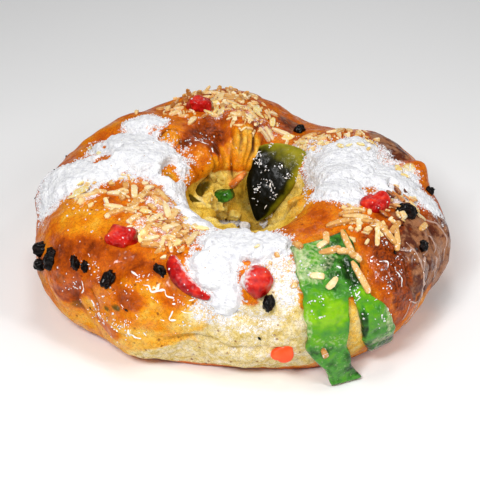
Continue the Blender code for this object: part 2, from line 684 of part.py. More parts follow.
def sliver_object(name, place, length, width, thickness):
    """A slivered almond: a flat stick with narrowed ends, and with a middle if it is long."""
    stations = [(-0.5, 0.62, 0.75), (0.5, 0.50, 0.70)]
    if length > LONG_SLIVER:
        stations.insert(1, (0.05, 1.0, 1.0))
    points, faces = [], []
    for share, wide, thick in stations:
        for y, z in ((-1, -1), (1, -1), (1, 1), (-1, 1)):
            points.append(place @ Vector((share * length, y * wide * width / 2, z * thick * thickness / 2)))
    for i in range(len(stations) - 1):
        for j in range(4):
            a, b = i * 4 + j, i * 4 + (j + 1) % 4
            faces.append((a, b, b + 4, a + 4))
    last = 4 * (len(stations) - 1)
    faces += [(3, 2, 1, 0), (last, last + 1, last + 2, last + 3)]
    return mesh_object(name, points, faces)


def almond_plan():
    """Where each sliver lies: angle, turn, yaw, length, width and thickness, by a seeded rule."""
    draw = random.Random(ALMOND_SEED)
    planned = []
    for angle, turn, spread_along, spread_round, count, shortest, longest in ALMOND_DRIFTS:
        ring = float(np.hypot(*smooth_section(angle, turn)[:2]))
        for _ in range(count):
            far_along, far_round = draw.gauss(0, 0.5), draw.gauss(0, 0.5)
            planned.append((
                angle + math.degrees(spread_along * far_along / ring),
                turn + math.degrees(spread_round * far_round / SECTION_REACH),
                draw.uniform(0, 180),
                shortest + (longest - shortest) * draw.random() ** 1.3,
                ALMOND_WIDTH * draw.uniform(0.8, 1.3),
                ALMOND_THICKNESS * draw.uniform(0.8, 1.2),
            ))
    longest_first = sorted(planned, key=lambda one: -one[3])
    return [(*one, ALMOND_WIDTH * 1.1, ALMOND_THICKNESS) for one in LONG_SLIVERS] + longest_first


def almond_slivers(pieces):
    """The slivers that lie on bare crust, clear of every other piece and of each other's middles."""
    trees = [tree_of(piece) for piece in pieces]
    middles, made = [], []
    for number, (angle, turn, yaw, length, width, thickness) in enumerate(almond_plan()):
        place = seat(angle, turn, yaw, thickness * ALMOND_SINK)
        spots = [place @ Vector((share * length / 4, 0, 0)) for share in range(-2, 3)]
        near = min(tree.find_nearest(spot)[3] for tree in trees for spot in spots)
        within = any(inside(tree, spot) for tree in trees for spot in spots)
        crowded = any((spots[2] - other).length < ALMOND_SPACING for other in middles)
        if within or near < ALMOND_CLEAR or crowded:
            continue
        middles.append(spots[2])
        made.append(sliver_object(f"sliver_{number}", place, length, width, thickness))
    return made


def tree_of(piece):
    """Search tree over a piece's faces."""
    return BVHTree.FromPolygons([v.co for v in piece.data.vertices], [p.vertices for p in piece.data.polygons])


def inside(tree, spot):
    """True where a point lies inside a closed piece, by counting the faces straight above it."""
    up, crossings = Vector((0, 0, 1)), 0
    hit = tree.ray_cast(spot, up)[0]
    while hit is not None:
        crossings += 1
        hit = tree.ray_cast(hit + up * 0.00001, up)[0]
    return crossings % 2 == 1


def fuse(core, additions, solver="MANIFOLD"):
    """Joins a list of solids to a core by one union, then removes them and any loose scrap."""
    group = bpy.data.collections.new("additions")
    bpy.context.scene.collection.children.link(group)
    for addition in additions:
        for collection in list(addition.users_collection):
            collection.objects.unlink(addition)
        group.objects.link(addition)
    join = core.modifiers.new("fuse", "BOOLEAN")
    join.operation = "UNION"
    join.operand_type = "COLLECTION"
    join.collection = group
    join.solver = solver
    graph = bpy.context.evaluated_depsgraph_get()
    fused = bpy.data.meshes.new_from_object(core.evaluated_get(graph))
    core.modifiers.clear()
    keep_largest(fused)
    core.data = fused
    for addition in additions:
        bpy.data.objects.remove(addition)
    bpy.data.collections.remove(group)


def build():
    """Builds every piece of the loaf."""
    clear_scene()
    crust_finish = finish("baked crust", CRUST, 0.35)
    sugar_finish = finish("icing sugar", ICING_SUGAR, 0.95)
    cherry_finish = finish("candied cherry", CHERRY_RED, 0.15)
    citron_finish = finish("candied citron", CITRON_GREEN, 0.20)
    fig_finish = finish("candied fig", FIG_GREEN, 0.12)
    raisin_finish = finish("raisin", RAISIN_BLACK, 0.35)
    peel_finish = finish("candied orange peel", PEEL_ORANGE, 0.30)

    bread = ring_object("bread", 0.0, crust_finish)
    clearance = ring_object("clearance", GAP)
    clearance.hide_render = True
    clearance.display_type = "WIRE"

    pieces = []
    for name, cherry in CHERRIES.items():
        pieces.append(blob(name, cherry, CHERRY_SHAPE, cherry_finish, len(pieces)))
    pieces.append(blob("peel_chip", PEEL_CHIP, CHIP_SHAPE, peel_finish))
    pieces.append(blob("green_cube", FRUIT_CUBE, CUBE_SHAPE, citron_finish))
    for number, raisin in enumerate(RAISINS, 1):
        pieces.append(blob(f"raisin_{number}", raisin, RAISIN_SHAPE, raisin_finish, number))
    for piece in pieces:
        cut_to_fit(piece, [clearance])
    citron = citron_slab(citron_finish, [clearance])
    pieces.append(citron)
    pieces.append(cherry_strip(cherry_finish, [clearance]))
    pieces.append(hole_fruit("hole_fruit", fig_finish, [clearance]))
    named = {piece.name: piece for piece in pieces}
    for name, neighbours in SUGAR_NEIGHBOURS.items():
        room = [grown(named[neighbour]) for neighbour in neighbours]
        named[name] = sugar_heap(name, sugar_finish, [clearance, *room])
        pieces.append(named[name])
    on_citron = []
    for number, (angle, turn, yaw, length) in enumerate(CITRON_SLIVERS):
        place = seat(angle, turn, yaw, CITRON_THICKNESS + ALMOND_THICKNESS * 0.3)
        name = f"citron_sliver_{number}"
        on_citron.append(sliver_object(name, place, length, ALMOND_WIDTH * 1.15, ALMOND_THICKNESS))
    fuse(citron, on_citron)
    fuse(bread, almond_slivers(pieces))


build()
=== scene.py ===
"""Looks of a bolo rei: a glazed ring loaf under icing sugar, candied fruit, raisins and slivered almonds.

Metres, +Z up, the loaf standing on z = 0 round the Z axis. A place on the loaf is given by two angles in
degrees: "angle" goes round the ring (0 at +X, 90 at +Y, 270 at the front) and "turn" goes round the dough's
section (0 on the outside, 90 on the crest, 180 in the hole).
"""

import json
import logging
import math
import random
from collections.abc import Callable
from dataclasses import dataclass
from enum import Enum

import bpy
import numpy as np
from mathutils import Matrix, Vector, noise
from mathutils.bvhtree import BVHTree

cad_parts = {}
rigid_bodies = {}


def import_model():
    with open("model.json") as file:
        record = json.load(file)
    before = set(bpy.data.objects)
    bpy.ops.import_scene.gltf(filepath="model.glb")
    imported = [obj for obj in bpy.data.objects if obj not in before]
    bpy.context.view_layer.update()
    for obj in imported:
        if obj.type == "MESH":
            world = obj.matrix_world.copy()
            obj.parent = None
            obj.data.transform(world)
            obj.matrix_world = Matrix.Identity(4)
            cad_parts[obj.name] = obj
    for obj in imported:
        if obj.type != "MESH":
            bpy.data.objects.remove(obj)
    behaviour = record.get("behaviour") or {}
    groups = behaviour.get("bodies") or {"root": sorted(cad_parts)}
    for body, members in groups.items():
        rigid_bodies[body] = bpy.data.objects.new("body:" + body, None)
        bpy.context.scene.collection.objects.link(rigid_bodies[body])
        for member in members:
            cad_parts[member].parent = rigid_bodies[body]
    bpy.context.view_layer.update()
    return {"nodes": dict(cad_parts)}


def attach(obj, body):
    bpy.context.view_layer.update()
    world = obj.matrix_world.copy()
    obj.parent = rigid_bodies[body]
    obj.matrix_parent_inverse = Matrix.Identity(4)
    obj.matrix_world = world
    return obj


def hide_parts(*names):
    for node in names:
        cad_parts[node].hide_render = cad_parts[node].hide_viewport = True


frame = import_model()

LOG = logging.getLogger("bolo_rei")
BODY = "root"
Socket = bpy.types.NodeSocket
Numbers = float | np.ndarray


class Slot(Enum):
    """Material slots of the record."""

    CRUST = "crust"
    SUGAR = "icing_sugar"
    CHERRY = "cherry"
    CITRON = "citron"
    DARK_FRUIT = "dark_fruit"
    PEEL = "orange_peel"
    RAISIN = "raisin"


# Small helpers


def linear(code: str) -> tuple[float, float, float, float]:
    """Turns an sRGB hex colour into linear RGBA.

    Args:
        code: Colour such as "#E0901E".

    Returns:
        Red, green, blue and alpha for a Blender colour socket.
    """
    shares = [int(code[i:i + 2], 16) / 255.0 for i in (1, 3, 5)]
    return (*[s / 12.92 if s <= 0.04045 else ((s + 0.055) / 1.055) ** 2.4 for s in shares], 1.0)


def per_metre(millimetres: float) -> float:
    """Texture scale of a pattern whose features are this many millimetres apart."""
    return 1000.0 / millimetres


def smooth(low: float, high: float, value: np.ndarray) -> np.ndarray:
    """Smooth step from 0 at low to 1 at high, also where low is above high."""
    share = np.clip((value - low) / (high - low), 0, 1)
    return share * share * (3 - 2 * share)


def grain(points: np.ndarray, size: float, seed: int = 0) -> np.ndarray:
    """Smooth random value of -1 to 1 at each point.

    Args:
        points: Array whose last axis is x, y, z in metres.
        size: Distance between neighbouring random values, in metres.
        seed: Which pattern.

    Returns:
        Array of the points' shape without its last axis.
    """
    place = points / size + seed * 17.17 + 4096.0
    cell = np.floor(place).astype(np.int64)
    share = place - cell
    share = share * share * (3 - 2 * share)
    total = np.zeros(points.shape[:-1])
    for corner in range(8):
        step = np.array([corner & 1, (corner >> 1) & 1, (corner >> 2) & 1])
        key = (cell + step) @ np.array([73856093, 19349663, 83492791])
        key = ((key ^ (key >> 13)) * 1274126177) & 0x7FFFFFFF
        key = ((key ^ (key >> 15)) * 668265263) & 0x7FFFFFFF
        weight = np.prod(np.where(step == 1, share, 1 - share), axis=-1)
        total += ((key % 65536) / 32767.5 - 1) * weight
    return total


def billow(points: np.ndarray, size: float, seed: int = 0, layers: int = 3) -> np.ndarray:
    """Layered grain, each layer half as large and half as strong as the one before."""
    return sum(grain(points, size / 2**i, seed + i) / 2**i for i in range(layers))


def add(tree: bpy.types.NodeTree, kind: str, inputs: dict | None = None, **settings) -> bpy.types.Node:
    """Adds a node with its settings and links.

    Args:
        tree: Node tree of a material or of Geometry Nodes.
        kind: The node's type.
        inputs: Socket name or number, with the value or the output socket that goes into it.
        **settings: Properties of the node; stops fills a colour ramp with (place, hex colour) pairs.

    Returns:
        The new node.
    """
    made = tree.nodes.new(kind)
    stops = settings.pop("stops", ())
    for name, value in settings.items():
        setattr(made, name, value)
    for number, (place, code) in enumerate(stops):
        elements = made.color_ramp.elements
        element = elements[number] if number < 2 else elements.new(place)
        element.position = place
        element.color = linear(code)
    for socket, value in (inputs or {}).items():
        if isinstance(value, Socket):
            tree.links.new(value, made.inputs[socket])
        else:
            made.inputs[socket].default_value = value
    return made


def mesh_object(name: str, points: np.ndarray, faces: list,
                finish: bpy.types.Material | None = None) -> bpy.types.Object:
    """Makes a smooth-shaded object from points and faces.

    Args:
        name: The object's name.
        points: Array of x, y, z rows.
        faces: Lists of point numbers.
        finish: Material, if it has one.

    Returns:
        The new object, at the origin.
    """
    mesh = bpy.data.meshes.new(name)
    mesh.from_pydata(np.asarray(points, float).reshape(-1, 3).tolist(), [], faces)
    mesh.update()
    mesh.shade_smooth()
    made = bpy.data.objects.new(name, mesh)
    bpy.context.scene.collection.objects.link(made)
    if finish:
        mesh.materials.append(finish)
    return made


def mark(piece: bpy.types.Object, name: str, values: np.ndarray) -> None:
    """Stores one number for each of a piece's points as an attribute."""
    layer = piece.data.attributes.new(name, "FLOAT", "POINT")
    layer.data.foreach_set("value", np.asarray(values, np.float32).ravel())


def report(piece: bpy.types.Object, slot: Slot | None = None, replaced: tuple[str, ...] = ()) -> None:
    """Makes a finished piece ride on the loaf and logs it.

    Args:
        piece: The finished object.
        slot: The record's slot for the piece; not used.
        replaced: CAD nodes that it stands for.
    """
    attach(piece, BODY)
    if replaced:
        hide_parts(*replaced)
    LOG.info("%s: %d faces", piece.name, len(piece.data.polygons))


def sphere_grid(rows: int, columns: int) -> tuple[np.ndarray, list]:
    """Unit sphere of rings between two poles.

    Args:
        rows: Rings plus one.
        columns: Points on each ring.

    Returns:
        Points and faces, wound outwards.
    """
    points = [(0.0, 0.0, 1.0)]
    for i in range(1, rows):
        fall = math.pi * i / rows
        for j in range(columns):
            spin = math.tau * j / columns
            points.append((math.sin(fall) * math.cos(spin), math.sin(fall) * math.sin(spin), math.cos(fall)))
    points.append((0.0, 0.0, -1.0))
    faces = [(0, 1 + j, 1 + (j + 1) % columns) for j in range(columns)]
    for i in range(rows - 2):
        for j in range(columns):
            here, beside = 1 + i * columns + j, 1 + i * columns + (j + 1) % columns
            faces.append((here, here + columns, beside + columns, beside))
    end, last = len(points) - 1, 1 + (rows - 2) * columns
    faces += [(end, last + (j + 1) % columns, last + j) for j in range(columns)]
    return np.array(points), faces


def tube_faces(stations: int, spokes: int, first: int = 0, flip: bool = False) -> list:
    """Faces of a closed tube made of rings of points.

    Args:
        stations: Number of rings.
        spokes: Points on each ring.
        first: Number of the first point.
        flip: Whether the faces are wound the other way round.

    Returns:
        The sides and the two ends.
    """
    faces = []
    for i in range(stations - 1):
        for j in range(spokes):
            here, beside = first + i * spokes + j, first + i * spokes + (j + 1) % spokes
            side = (here, here + spokes, beside + spokes, beside)
            faces.append((side[0], *side[:0:-1]) if flip else side)
    start = range(first, first + spokes)
    end = range(first + (stations - 1) * spokes, first + stations * spokes)
    ends = (reversed(start), end) if flip else (start, reversed(end))
    return faces + [tuple(one) for one in ends]


def grid_faces(rows: int, columns: int) -> np.ndarray:
    """Quads of a grid of points, by row and column, with the four point numbers on the last axis."""
    number = np.arange(rows * columns).reshape(rows, columns)
    return np.stack([number[:-1, :-1], number[:-1, 1:], number[1:, 1:], number[1:, :-1]], -1)


def open_edges(quads: list) -> list:
    """Edges that only one of the quads has, as pairs of point numbers in its winding."""
    edges = {}
    for quad in quads:
        for here, beside in zip(quad, quad[1:] + quad[:1]):
            if (beside, here) in edges:
                del edges[(beside, here)]
            else:
                edges[(here, beside)] = True
    return list(edges)


def rounded(share: np.ndarray) -> np.ndarray:
    """Rise from 0 to 1 along a quarter circle, held at both ends."""
    return np.sqrt(np.clip(1 - (1 - np.clip(share, 0, 1)) ** 2, 0, 1))


# The loaf's form, as the CAD solids have it


@dataclass(frozen=True)
class RingForm:
    """The dough's surface as a function of angle and turn, with sizes in metres and angles in degrees."""

    outer_radius: tuple = (0.127, 0.129, 0.121, 0.124, 0.124, 0.127, 0.125, 0.132, 0.122, 0.116, 0.129, 0.131)
    crest_height: tuple = (0.071, 0.071, 0.062, 0.078, 0.077, 0.076, 0.077, 0.074, 0.074, 0.075, 0.073, 0.076)
    hole_radius: tuple = (0.024, 0.022, 0.020, 0.019, 0.019, 0.018, 0.017, 0.017, 0.019, 0.022, 0.024, 0.026)
    crest_share: tuple = (0.47, 0.47, 0.47, 0.47, 0.47, 0.47, 0.47, 0.49, 0.54, 0.58, 0.56, 0.50)
    lip_turn: tuple = (130, 124, 128, 148, 144, 142, 135, 126, 118, 114, 110, 120)
    lip_step: tuple = (0.0010, 0.0010, 0.0015, 0.0030, 0.0045, 0.0040, 0.0030, 0.0020, 0.0010, 0.0010,
                       0.0015, 0.0015)
    waist_share: float = 0.45
    foot_turn: float = 52.0
    side_power: float = 0.85
    top_power: float = 0.95
    section_reach: float = 0.046
    foot_fade: float = 14.0
    pleats: int = 11
    pleat_depth: float = 0.0013
    lumps: tuple = (
        (143, 96, 0.020, 0.022, 0.0045), (142, 134, 0.018, 0.012, 0.0060), (118, 70, 0.030, 0.026, 0.0030),
        (94, 118, 0.014, 0.026, 0.0035), (62, 104, 0.024, 0.018, 0.0025), (32, 74, 0.020, 0.020, 0.0025),
        (5, 51, 0.0085, 0.0095, 0.0085), (14, 96, 0.030, 0.026, 0.0030), (318, 104, 0.016, 0.020, 0.0035),
        (324, 38, 0.030, 0.026, 0.0030), (200, 76, 0.036, 0.030, 0.0030), (212, 44, 0.024, 0.018, 0.0030),
        (246, 32, 0.026, 0.020, 0.0035), (270, 128, 0.040, 0.024, -0.0110),
        (236, 134, 0.022, 0.016, -0.0040), (306, 132, 0.022, 0.016, -0.0040),
        (250, 140, 0.012, 0.014, 0.0050), (280, -12, 0.026, 0.012, 0.0025), (172, 28, 0.024, 0.020, 0.0025),
        (88, 30, 0.034, 0.024, 0.0030), (40, 24, 0.028, 0.022, -0.0020), (225, -10, 0.014, 0.020, -0.0050),
        (238, -14, 0.014, 0.020, 0.0055), (247, -18, 0.010, 0.018, 0.0030),
        (256, -18, 0.012, 0.018, -0.0040), (272, -22, 0.016, 0.016, 0.0030),
        (329, -8, 0.016, 0.020, -0.0035), (347, 10, 0.018, 0.022, 0.0035), (9, 30, 0.012, 0.016, -0.0040),
        (178, 30, 0.016, 0.020, 0.0040), (171, 40, 0.012, 0.018, -0.0030), (126, 70, 0.014, 0.020, -0.0035),
        (22, 146, 0.016, 0.024, -0.0095), (268, 104, 0.030, 0.020, -0.0035),
    )
    creases: tuple = (
        (0.0065, 0.0045, ((157, 40), (154, 70), (151, 100), (154, 122), (158, 142))),
        (0.0045, 0.0040, ((106, 78), (104, 104), (108, 128), (112, 158))),
        (0.0040, 0.0035, ((126, 118), (131, 146), (134, 172))),
        (0.0040, 0.0040, ((70, 92), (66, 122), (72, 150))),
        (0.0040, 0.0040, ((338, 118), (334, 142), (338, 170))),
        (0.0045, 0.0050, ((14, 34), (11, 52), (12, 70))),
        (0.0035, 0.0045, ((221, 46), (224, 28), (221, 4), (223, -22))),
        (0.0030, 0.0050, ((236, 52), (233, 34), (238, 12))),
        (0.0032, 0.0022, ((244, 0), (250, -8), (256, -6), (262, -5), (268, -11), (276, -8), (285, -10))),
        (0.0026, 0.0024, ((265, 22), (274, 14), (283, 16))),
        (0.0035, 0.0050, ((344, 62), (338, 36), (340, 8), (336, -20))),
        (0.0030, 0.0045, ((60, 44), (56, 16), (58, -14))),
        (0.0030, 0.0045, ((186, 6), (176, 0), (166, -6))),
        (0.0030, 0.0045, ((112, 30), (106, 8), (98, -10))),
    )
    # What the solids are too coarse for: small lobes, torn edges and cracks.
    small_lumps: tuple = (
        (118, 138, 0.006, 0.006, 0.0022), (128, 140, 0.005, 0.006, 0.0022),
        (139, 142, 0.006, 0.006, 0.0020), (134, 130, 0.007, 0.004, 0.0016),
        (146, 140, 0.005, 0.005, 0.0018), (98, 162, 0.007, 0.010, 0.0040), (112, 150, 0.008, 0.008, 0.0025),
        (150, 128, 0.013, 0.007, 0.0030), (165, 150, 0.014, 0.008, -0.0030),
        (190, 162, 0.006, 0.008, 0.0035), (215, 158, 0.006, 0.009, 0.0040),
        (338, 150, 0.006, 0.012, 0.0035), (350, 152, 0.005, 0.012, 0.0030), (226, 20, 0.010, 0.012, 0.0012),
        (240, 4, 0.009, 0.010, 0.0014), (217, 12, 0.007, 0.012, 0.0014), (252, 14, 0.010, 0.012, 0.0010),
        (313, 50, 0.006, 0.010, 0.0012), (312, 30, 0.006, 0.012, 0.0014), (284, 14, 0.008, 0.009, 0.0016),
        (270, 2, 0.008, 0.006, 0.0012), (147, 104, 0.012, 0.007, 0.0030), (150, 78, 0.009, 0.004, 0.0018),
        (86, 130, 0.005, 0.012, 0.0025), (76, 128, 0.005, 0.010, 0.0020), (322, 20, 0.004, 0.020, 0.0014),
        (340, 30, 0.006, 0.020, 0.0014),
    )
    small_creases: tuple = (
        (0.0024, 0.0009, ((123, 124), (122, 134), (124, 146))),
        (0.0022, 0.0009, ((134, 130), (133, 140), (135, 150))),
        (0.0020, 0.0009, ((97, 108), (98, 124), (96, 140))),
        (0.0018, 0.0009, ((86, 116), (85, 130), (87, 146))),
        (0.0016, 0.0009, ((73, 112), (71, 128), (73, 142))),
        (0.0030, 0.0012, ((184, 142), (190, 150), (198, 152), (206, 160))),
        (0.0026, 0.0013, ((128, 140), (140, 150), (152, 152), (166, 156))),
        (0.0024, 0.0012, ((100, 130), (103, 148), (100, 166))),
        (0.0022, 0.0012, ((344, 134), (342, 150), (345, 172))),
        (0.0022, 0.0011, ((332, 128), (328, 148), (331, 170))),
        (0.0022, 0.0011, ((352, 132), (356, 150), (354, 170))),
        (0.0018, 0.0011, ((261, 26), (262, 12), (260, 0))),
        (0.0016, 0.0010, ((244, -2), (238, -6), (232, -4))),
        (0.0022, 0.0012, ((230, 34), (227, 20), (230, 6), (226, -8))),
        (0.0018, 0.0012, ((213, 24), (211, 8), (214, -8))),
        (0.0026, 0.0012, ((316, 56), (319, 40), (317, 20), (320, 4))),
        (0.0022, 0.0010, ((327, 52), (326, 36), (328, 18), (326, 0), (329, -14))),
        (0.0018, 0.0010, ((345, 40), (343, 24), (346, 8))),
        (0.0018, 0.0010, ((336, 50), (332, 30), (334, 10))),
        (0.0020, 0.0012, ((78, 98), (81, 116), (77, 134))),
        (0.0020, 0.0012, ((120, 98), (122, 112), (118, 124))),
        (0.0020, 0.0012, ((140, 104), (146, 116), (160, 118))),
        (0.0026, 0.0012, ((152, 92), (149, 97), (143, 100), (138, 106))),
        (0.0022, 0.0012, ((156, 108), (149, 112), (142, 112))),
        (0.0024, 0.0012, ((92, 112), (90, 126), (93, 142))),
        (0.0022, 0.0012, ((81, 112), (80, 128), (82, 144))),
        (0.0016, 0.0012, ((34, 60), (30, 40), (34, 16))), (0.0016, 0.0012, ((84, 62), (80, 40), (85, 12))),
        (0.0016, 0.0012, ((134, 56), (130, 30), (134, 4))),
    )

    @staticmethod
    def around(values: tuple, angle: np.ndarray) -> np.ndarray:
        """Smooth periodic value at an angle, through the stations' values."""
        stations = np.asarray(values, float)
        count = len(stations)
        place = (np.asarray(angle, float) % 360.0) / (360.0 / count)
        first = np.floor(place).astype(int)
        share = place - first
        before, here = stations[(first - 1) % count], stations[first % count]
        after, beyond = stations[(first + 1) % count], stations[(first + 2) % count]
        return 0.5 * (
            2 * here
            + (after - before) * share
            + (2 * before - 5 * here + 4 * after - beyond) * share**2
            + (3 * here - before - 3 * after + beyond) * share**3
        )

    def smooth_section(self, angle: np.ndarray, turn: np.ndarray) -> np.ndarray:
        """Points of the ring before any lump or fold."""
        angle, turn = np.broadcast_arrays(np.asarray(angle, float), np.asarray(turn, float))
        outer, hole = self.around(self.outer_radius, angle), self.around(self.hole_radius, angle)
        height = self.around(self.crest_height, angle)
        middle = hole + (outer - hole) * self.around(self.crest_share, angle)
        cosine, sine = np.cos(np.radians(turn)), np.sin(np.radians(turn))
        reach = np.where(cosine > 0, outer - middle, middle - hole)
        radius = middle + reach * np.sign(cosine) * np.abs(cosine) ** self.side_power
        waist = self.waist_share * height
        over = waist + (height - waist) * np.abs(sine) ** self.top_power
        under = waist * (1 - np.abs(sine) / math.sin(math.radians(self.foot_turn)))
        z = np.where(sine > 0, over, under)
        return np.stack([radius * np.cos(np.radians(angle)), radius * np.sin(np.radians(angle)), z], -1)

    @staticmethod
    def outward(shape: Callable, angle: np.ndarray, turn: np.ndarray, step: float = 0.6) -> np.ndarray:
        """Unit normals of a shape given as a function of angle and turn."""
        along = shape(angle + step, turn) - shape(angle - step, turn)
        up = shape(angle, turn + step) - shape(angle, turn - step)
        normal = np.cross(along, up)
        return normal / np.maximum(np.linalg.norm(normal, axis=-1, keepdims=True), 1e-12)

    def offsets(self, angle: Numbers, turn: Numbers, at_angle: float, at_turn: float,
                radius: Numbers) -> tuple[np.ndarray, np.ndarray]:
        """Metres along the ring and round the section from a place to each point."""
        along = ((angle - at_angle + 180.0) % 360.0 - 180.0) * math.pi / 180.0 * radius
        return along, (turn - at_turn) * math.pi / 180.0 * self.section_reach

    def crease_depth(self, angle: Numbers, turn: Numbers, radius: Numbers, depth: float, width: float,
                     route: tuple) -> np.ndarray:
        """Depth of one fold, fading towards its two ends."""
        nearest = np.full(angle.shape, 1e9)
        fade = np.ones(angle.shape)
        last = len(route) - 1
        for number, (start, end) in enumerate(zip(route, route[1:])):
            run, rise = self.offsets(np.float64(end[0]), np.float64(end[1]), start[0], start[1], radius)
            along, up = self.offsets(angle, turn, start[0], start[1], radius)
            share = np.clip((along * run + up * rise) / (run**2 + rise**2), 0, 1)
            distance = np.hypot(along - share * run, up - share * rise)
            passed = (number + share) / last
            closer = distance < nearest
            fade = np.where(closer, np.sin(math.pi * np.clip(passed, 0.06, 0.94)) ** 0.5, fade)
            nearest = np.minimum(nearest, distance)
        return depth * fade * np.exp(-((nearest / width) ** 2))

    @staticmethod
    def dough_noise(points: np.ndarray, size: float, seed: int) -> np.ndarray:
        """Smooth seeded noise of about -1 to 1, with features of the given size."""
        flat = points.reshape(-1, 3) / size + seed * 7.31
        return np.array([noise.noise(Vector(p)) for p in flat]).reshape(points.shape[:-1])

    def hills(self, lumps: tuple, angle: Numbers, turn: Numbers, radius: Numbers) -> np.ndarray:
        """Sum of a list of swellings."""
        height = np.zeros(angle.shape)
        for at_angle, at_turn, reach_along, reach_round, lift in lumps:
            along, up = self.offsets(angle, turn, at_angle, at_turn, radius)
            height += lift * np.exp(-((along / reach_along) ** 2) - (up / reach_round) ** 2)
        return height

    def folds(self, creases: tuple, angle: Numbers, turn: Numbers, radius: Numbers) -> np.ndarray:
        """Summed depth of a list of folds."""
        return sum(self.crease_depth(angle, turn, radius, *crease) for crease in creases)

    def past_lip(self, angle: Numbers, turn: Numbers, reach: float = 7.0) -> np.ndarray:
        """0 on the crust and 1 on the pale wall of the hole."""
        return smooth(0, reach, turn - self.around(self.lip_turn, angle))

    def foot(self, turn: np.ndarray) -> np.ndarray:
        """Fade of the relief towards the table."""
        return np.clip(np.minimum(turn + self.foot_turn, 180.0 + self.foot_turn - turn) / self.foot_fade, 0, 1)

    def relief(self, angle: Numbers, turn: Numbers, base: np.ndarray) -> np.ndarray:
        """Height over the smooth ring: lumps, folds, pleats in the hole and uneven dough."""
        radius = np.hypot(base[..., 0], base[..., 1])
        height = self.hills(self.lumps, angle, turn, radius) - self.folds(self.creases, angle, turn, radius)
        wall = self.past_lip(angle, turn)
        height -= self.around(self.lip_step, angle) * wall
        spin = np.radians(angle)
        height += self.pleat_depth * wall * np.sin(spin * self.pleats + 2.2 * np.sin(spin * 3))
        height += 0.0020 * self.dough_noise(base, 0.030, 1) + 0.0008 * self.dough_noise(base, 0.011, 2)
        return height * self.foot(turn)

    def fine_relief(self, angle: Numbers, turn: Numbers, base: np.ndarray, torn: np.ndarray) -> np.ndarray:
        """What scene.py adds to the relief: small lobes, cracks, pores and the torn crumb's roughness.

        Args:
            angle: Angles in degrees.
            turn: Turns in degrees.
            base: Points of the smooth ring.
            torn: 0 where the crust is baked smooth, 1 where torn crumb shows.

        Returns:
            Height in metres.
        """
        radius = np.hypot(base[..., 0], base[..., 1])
        height = self.hills(self.small_lumps, angle, turn, radius)
        height -= self.folds(self.small_creases, angle, turn, radius)
        height += 0.00035 * billow(base, 0.0080, 3)
        height += torn * (0.0011 * billow(base, 0.0050, 9, 4) - 0.0003)
        wall = self.past_lip(angle, turn)
        stretch = base * np.array((1.0, 1.0, 0.28))
        height += wall * 0.0014 * billow(stretch, 0.0045, 21, 3)
        height += smooth(106, 122, turn) * (1 - wall) * 0.0005 * billow(stretch, 0.0030, 23, 2)
        return height * self.foot(turn)

    def crust(self, angle: Numbers, turn: Numbers, lift: Numbers = 0.0) -> np.ndarray:
        """Points on the solid's crust, or lifted off it along the smooth ring's normal."""
        angle, turn = np.broadcast_arrays(np.asarray(angle, float), np.asarray(turn, float))
        base = self.smooth_section(angle, turn)
        rise = self.relief(angle, turn, base) + lift
        return base + self.outward(self.smooth_section, angle, turn) * rise[..., None]

    def across(self, middle: np.ndarray, angle: np.ndarray,
               turn: np.ndarray) -> tuple[np.ndarray, np.ndarray]:
        """Directions outwards and sideways along a row of points on the crust."""
        up = self.outward(self.crust, angle, turn)
        side = np.cross(up, np.gradient(middle, axis=0))
        return up, side / np.linalg.norm(side, axis=1, keepdims=True)

    def seat(self, angle: float, turn: float, yaw: float = 0.0, lift: float = 0.0) -> Matrix:
        """Matrix of a place on the crust: X along the ring, Z outwards, turned by yaw about Z.

        Args:
            angle: Place round the ring, in degrees.
            turn: Place round the section, in degrees.
            yaw: Turn about the outward direction, in degrees.
            lift: Height over the crust, in metres.

        Returns:
            A 4 by 4 matrix without scale.
        """
        origin = Vector(self.crust(angle, turn, lift))
        up = Vector(self.outward(self.crust, np.float64(angle), np.float64(turn)))
        along = Vector(self.crust(angle + 1.0, turn) - self.crust(angle - 1.0, turn)).normalized()
        along = (along - up * along.dot(up)).normalized()
        across = up.cross(along)
        axes = Matrix((along, across, up)).transposed().to_4x4()
        turned = axes @ Matrix.Rotation(math.radians(yaw), 4, "Z")
        return Matrix.Translation(origin) @ turned


FORM = RingForm()


def paint(base: float | np.ndarray, strokes: tuple, angle: np.ndarray, turn: np.ndarray,
          warp: Numbers) -> np.ndarray:
    """Paints soft ovals of value over the loaf, one after the other.

    Args:
        base: Value before the first stroke.
        strokes: Rows of angle, turn, half width in angle, half width in turn and value.
        angle: Angles of the points, in degrees.
        turn: Turns of the points, in degrees.
        warp: Unevenness of the ovals' edges, as a share of their half widths.

    Returns:
        The painted value at each point.
    """
    painted = np.broadcast_to(np.asarray(base, float), angle.shape).copy()
    for at_angle, at_turn, half_angle, half_turn, value in strokes:
        off = (angle - at_angle + 180.0) % 360.0 - 180.0
        away = np.hypot(off / half_angle, (turn - at_turn) / half_turn) + warp
        painted += (value - painted) * smooth(1.3, 0.65, away)
    return painted


# Finishes


@dataclass(frozen=True)
class Finish:
    """A finish of the loaf, with its roughness and the strength of its surface relief."""

    name: str
    roughness: float = 0.5
    bump: float = 0.3


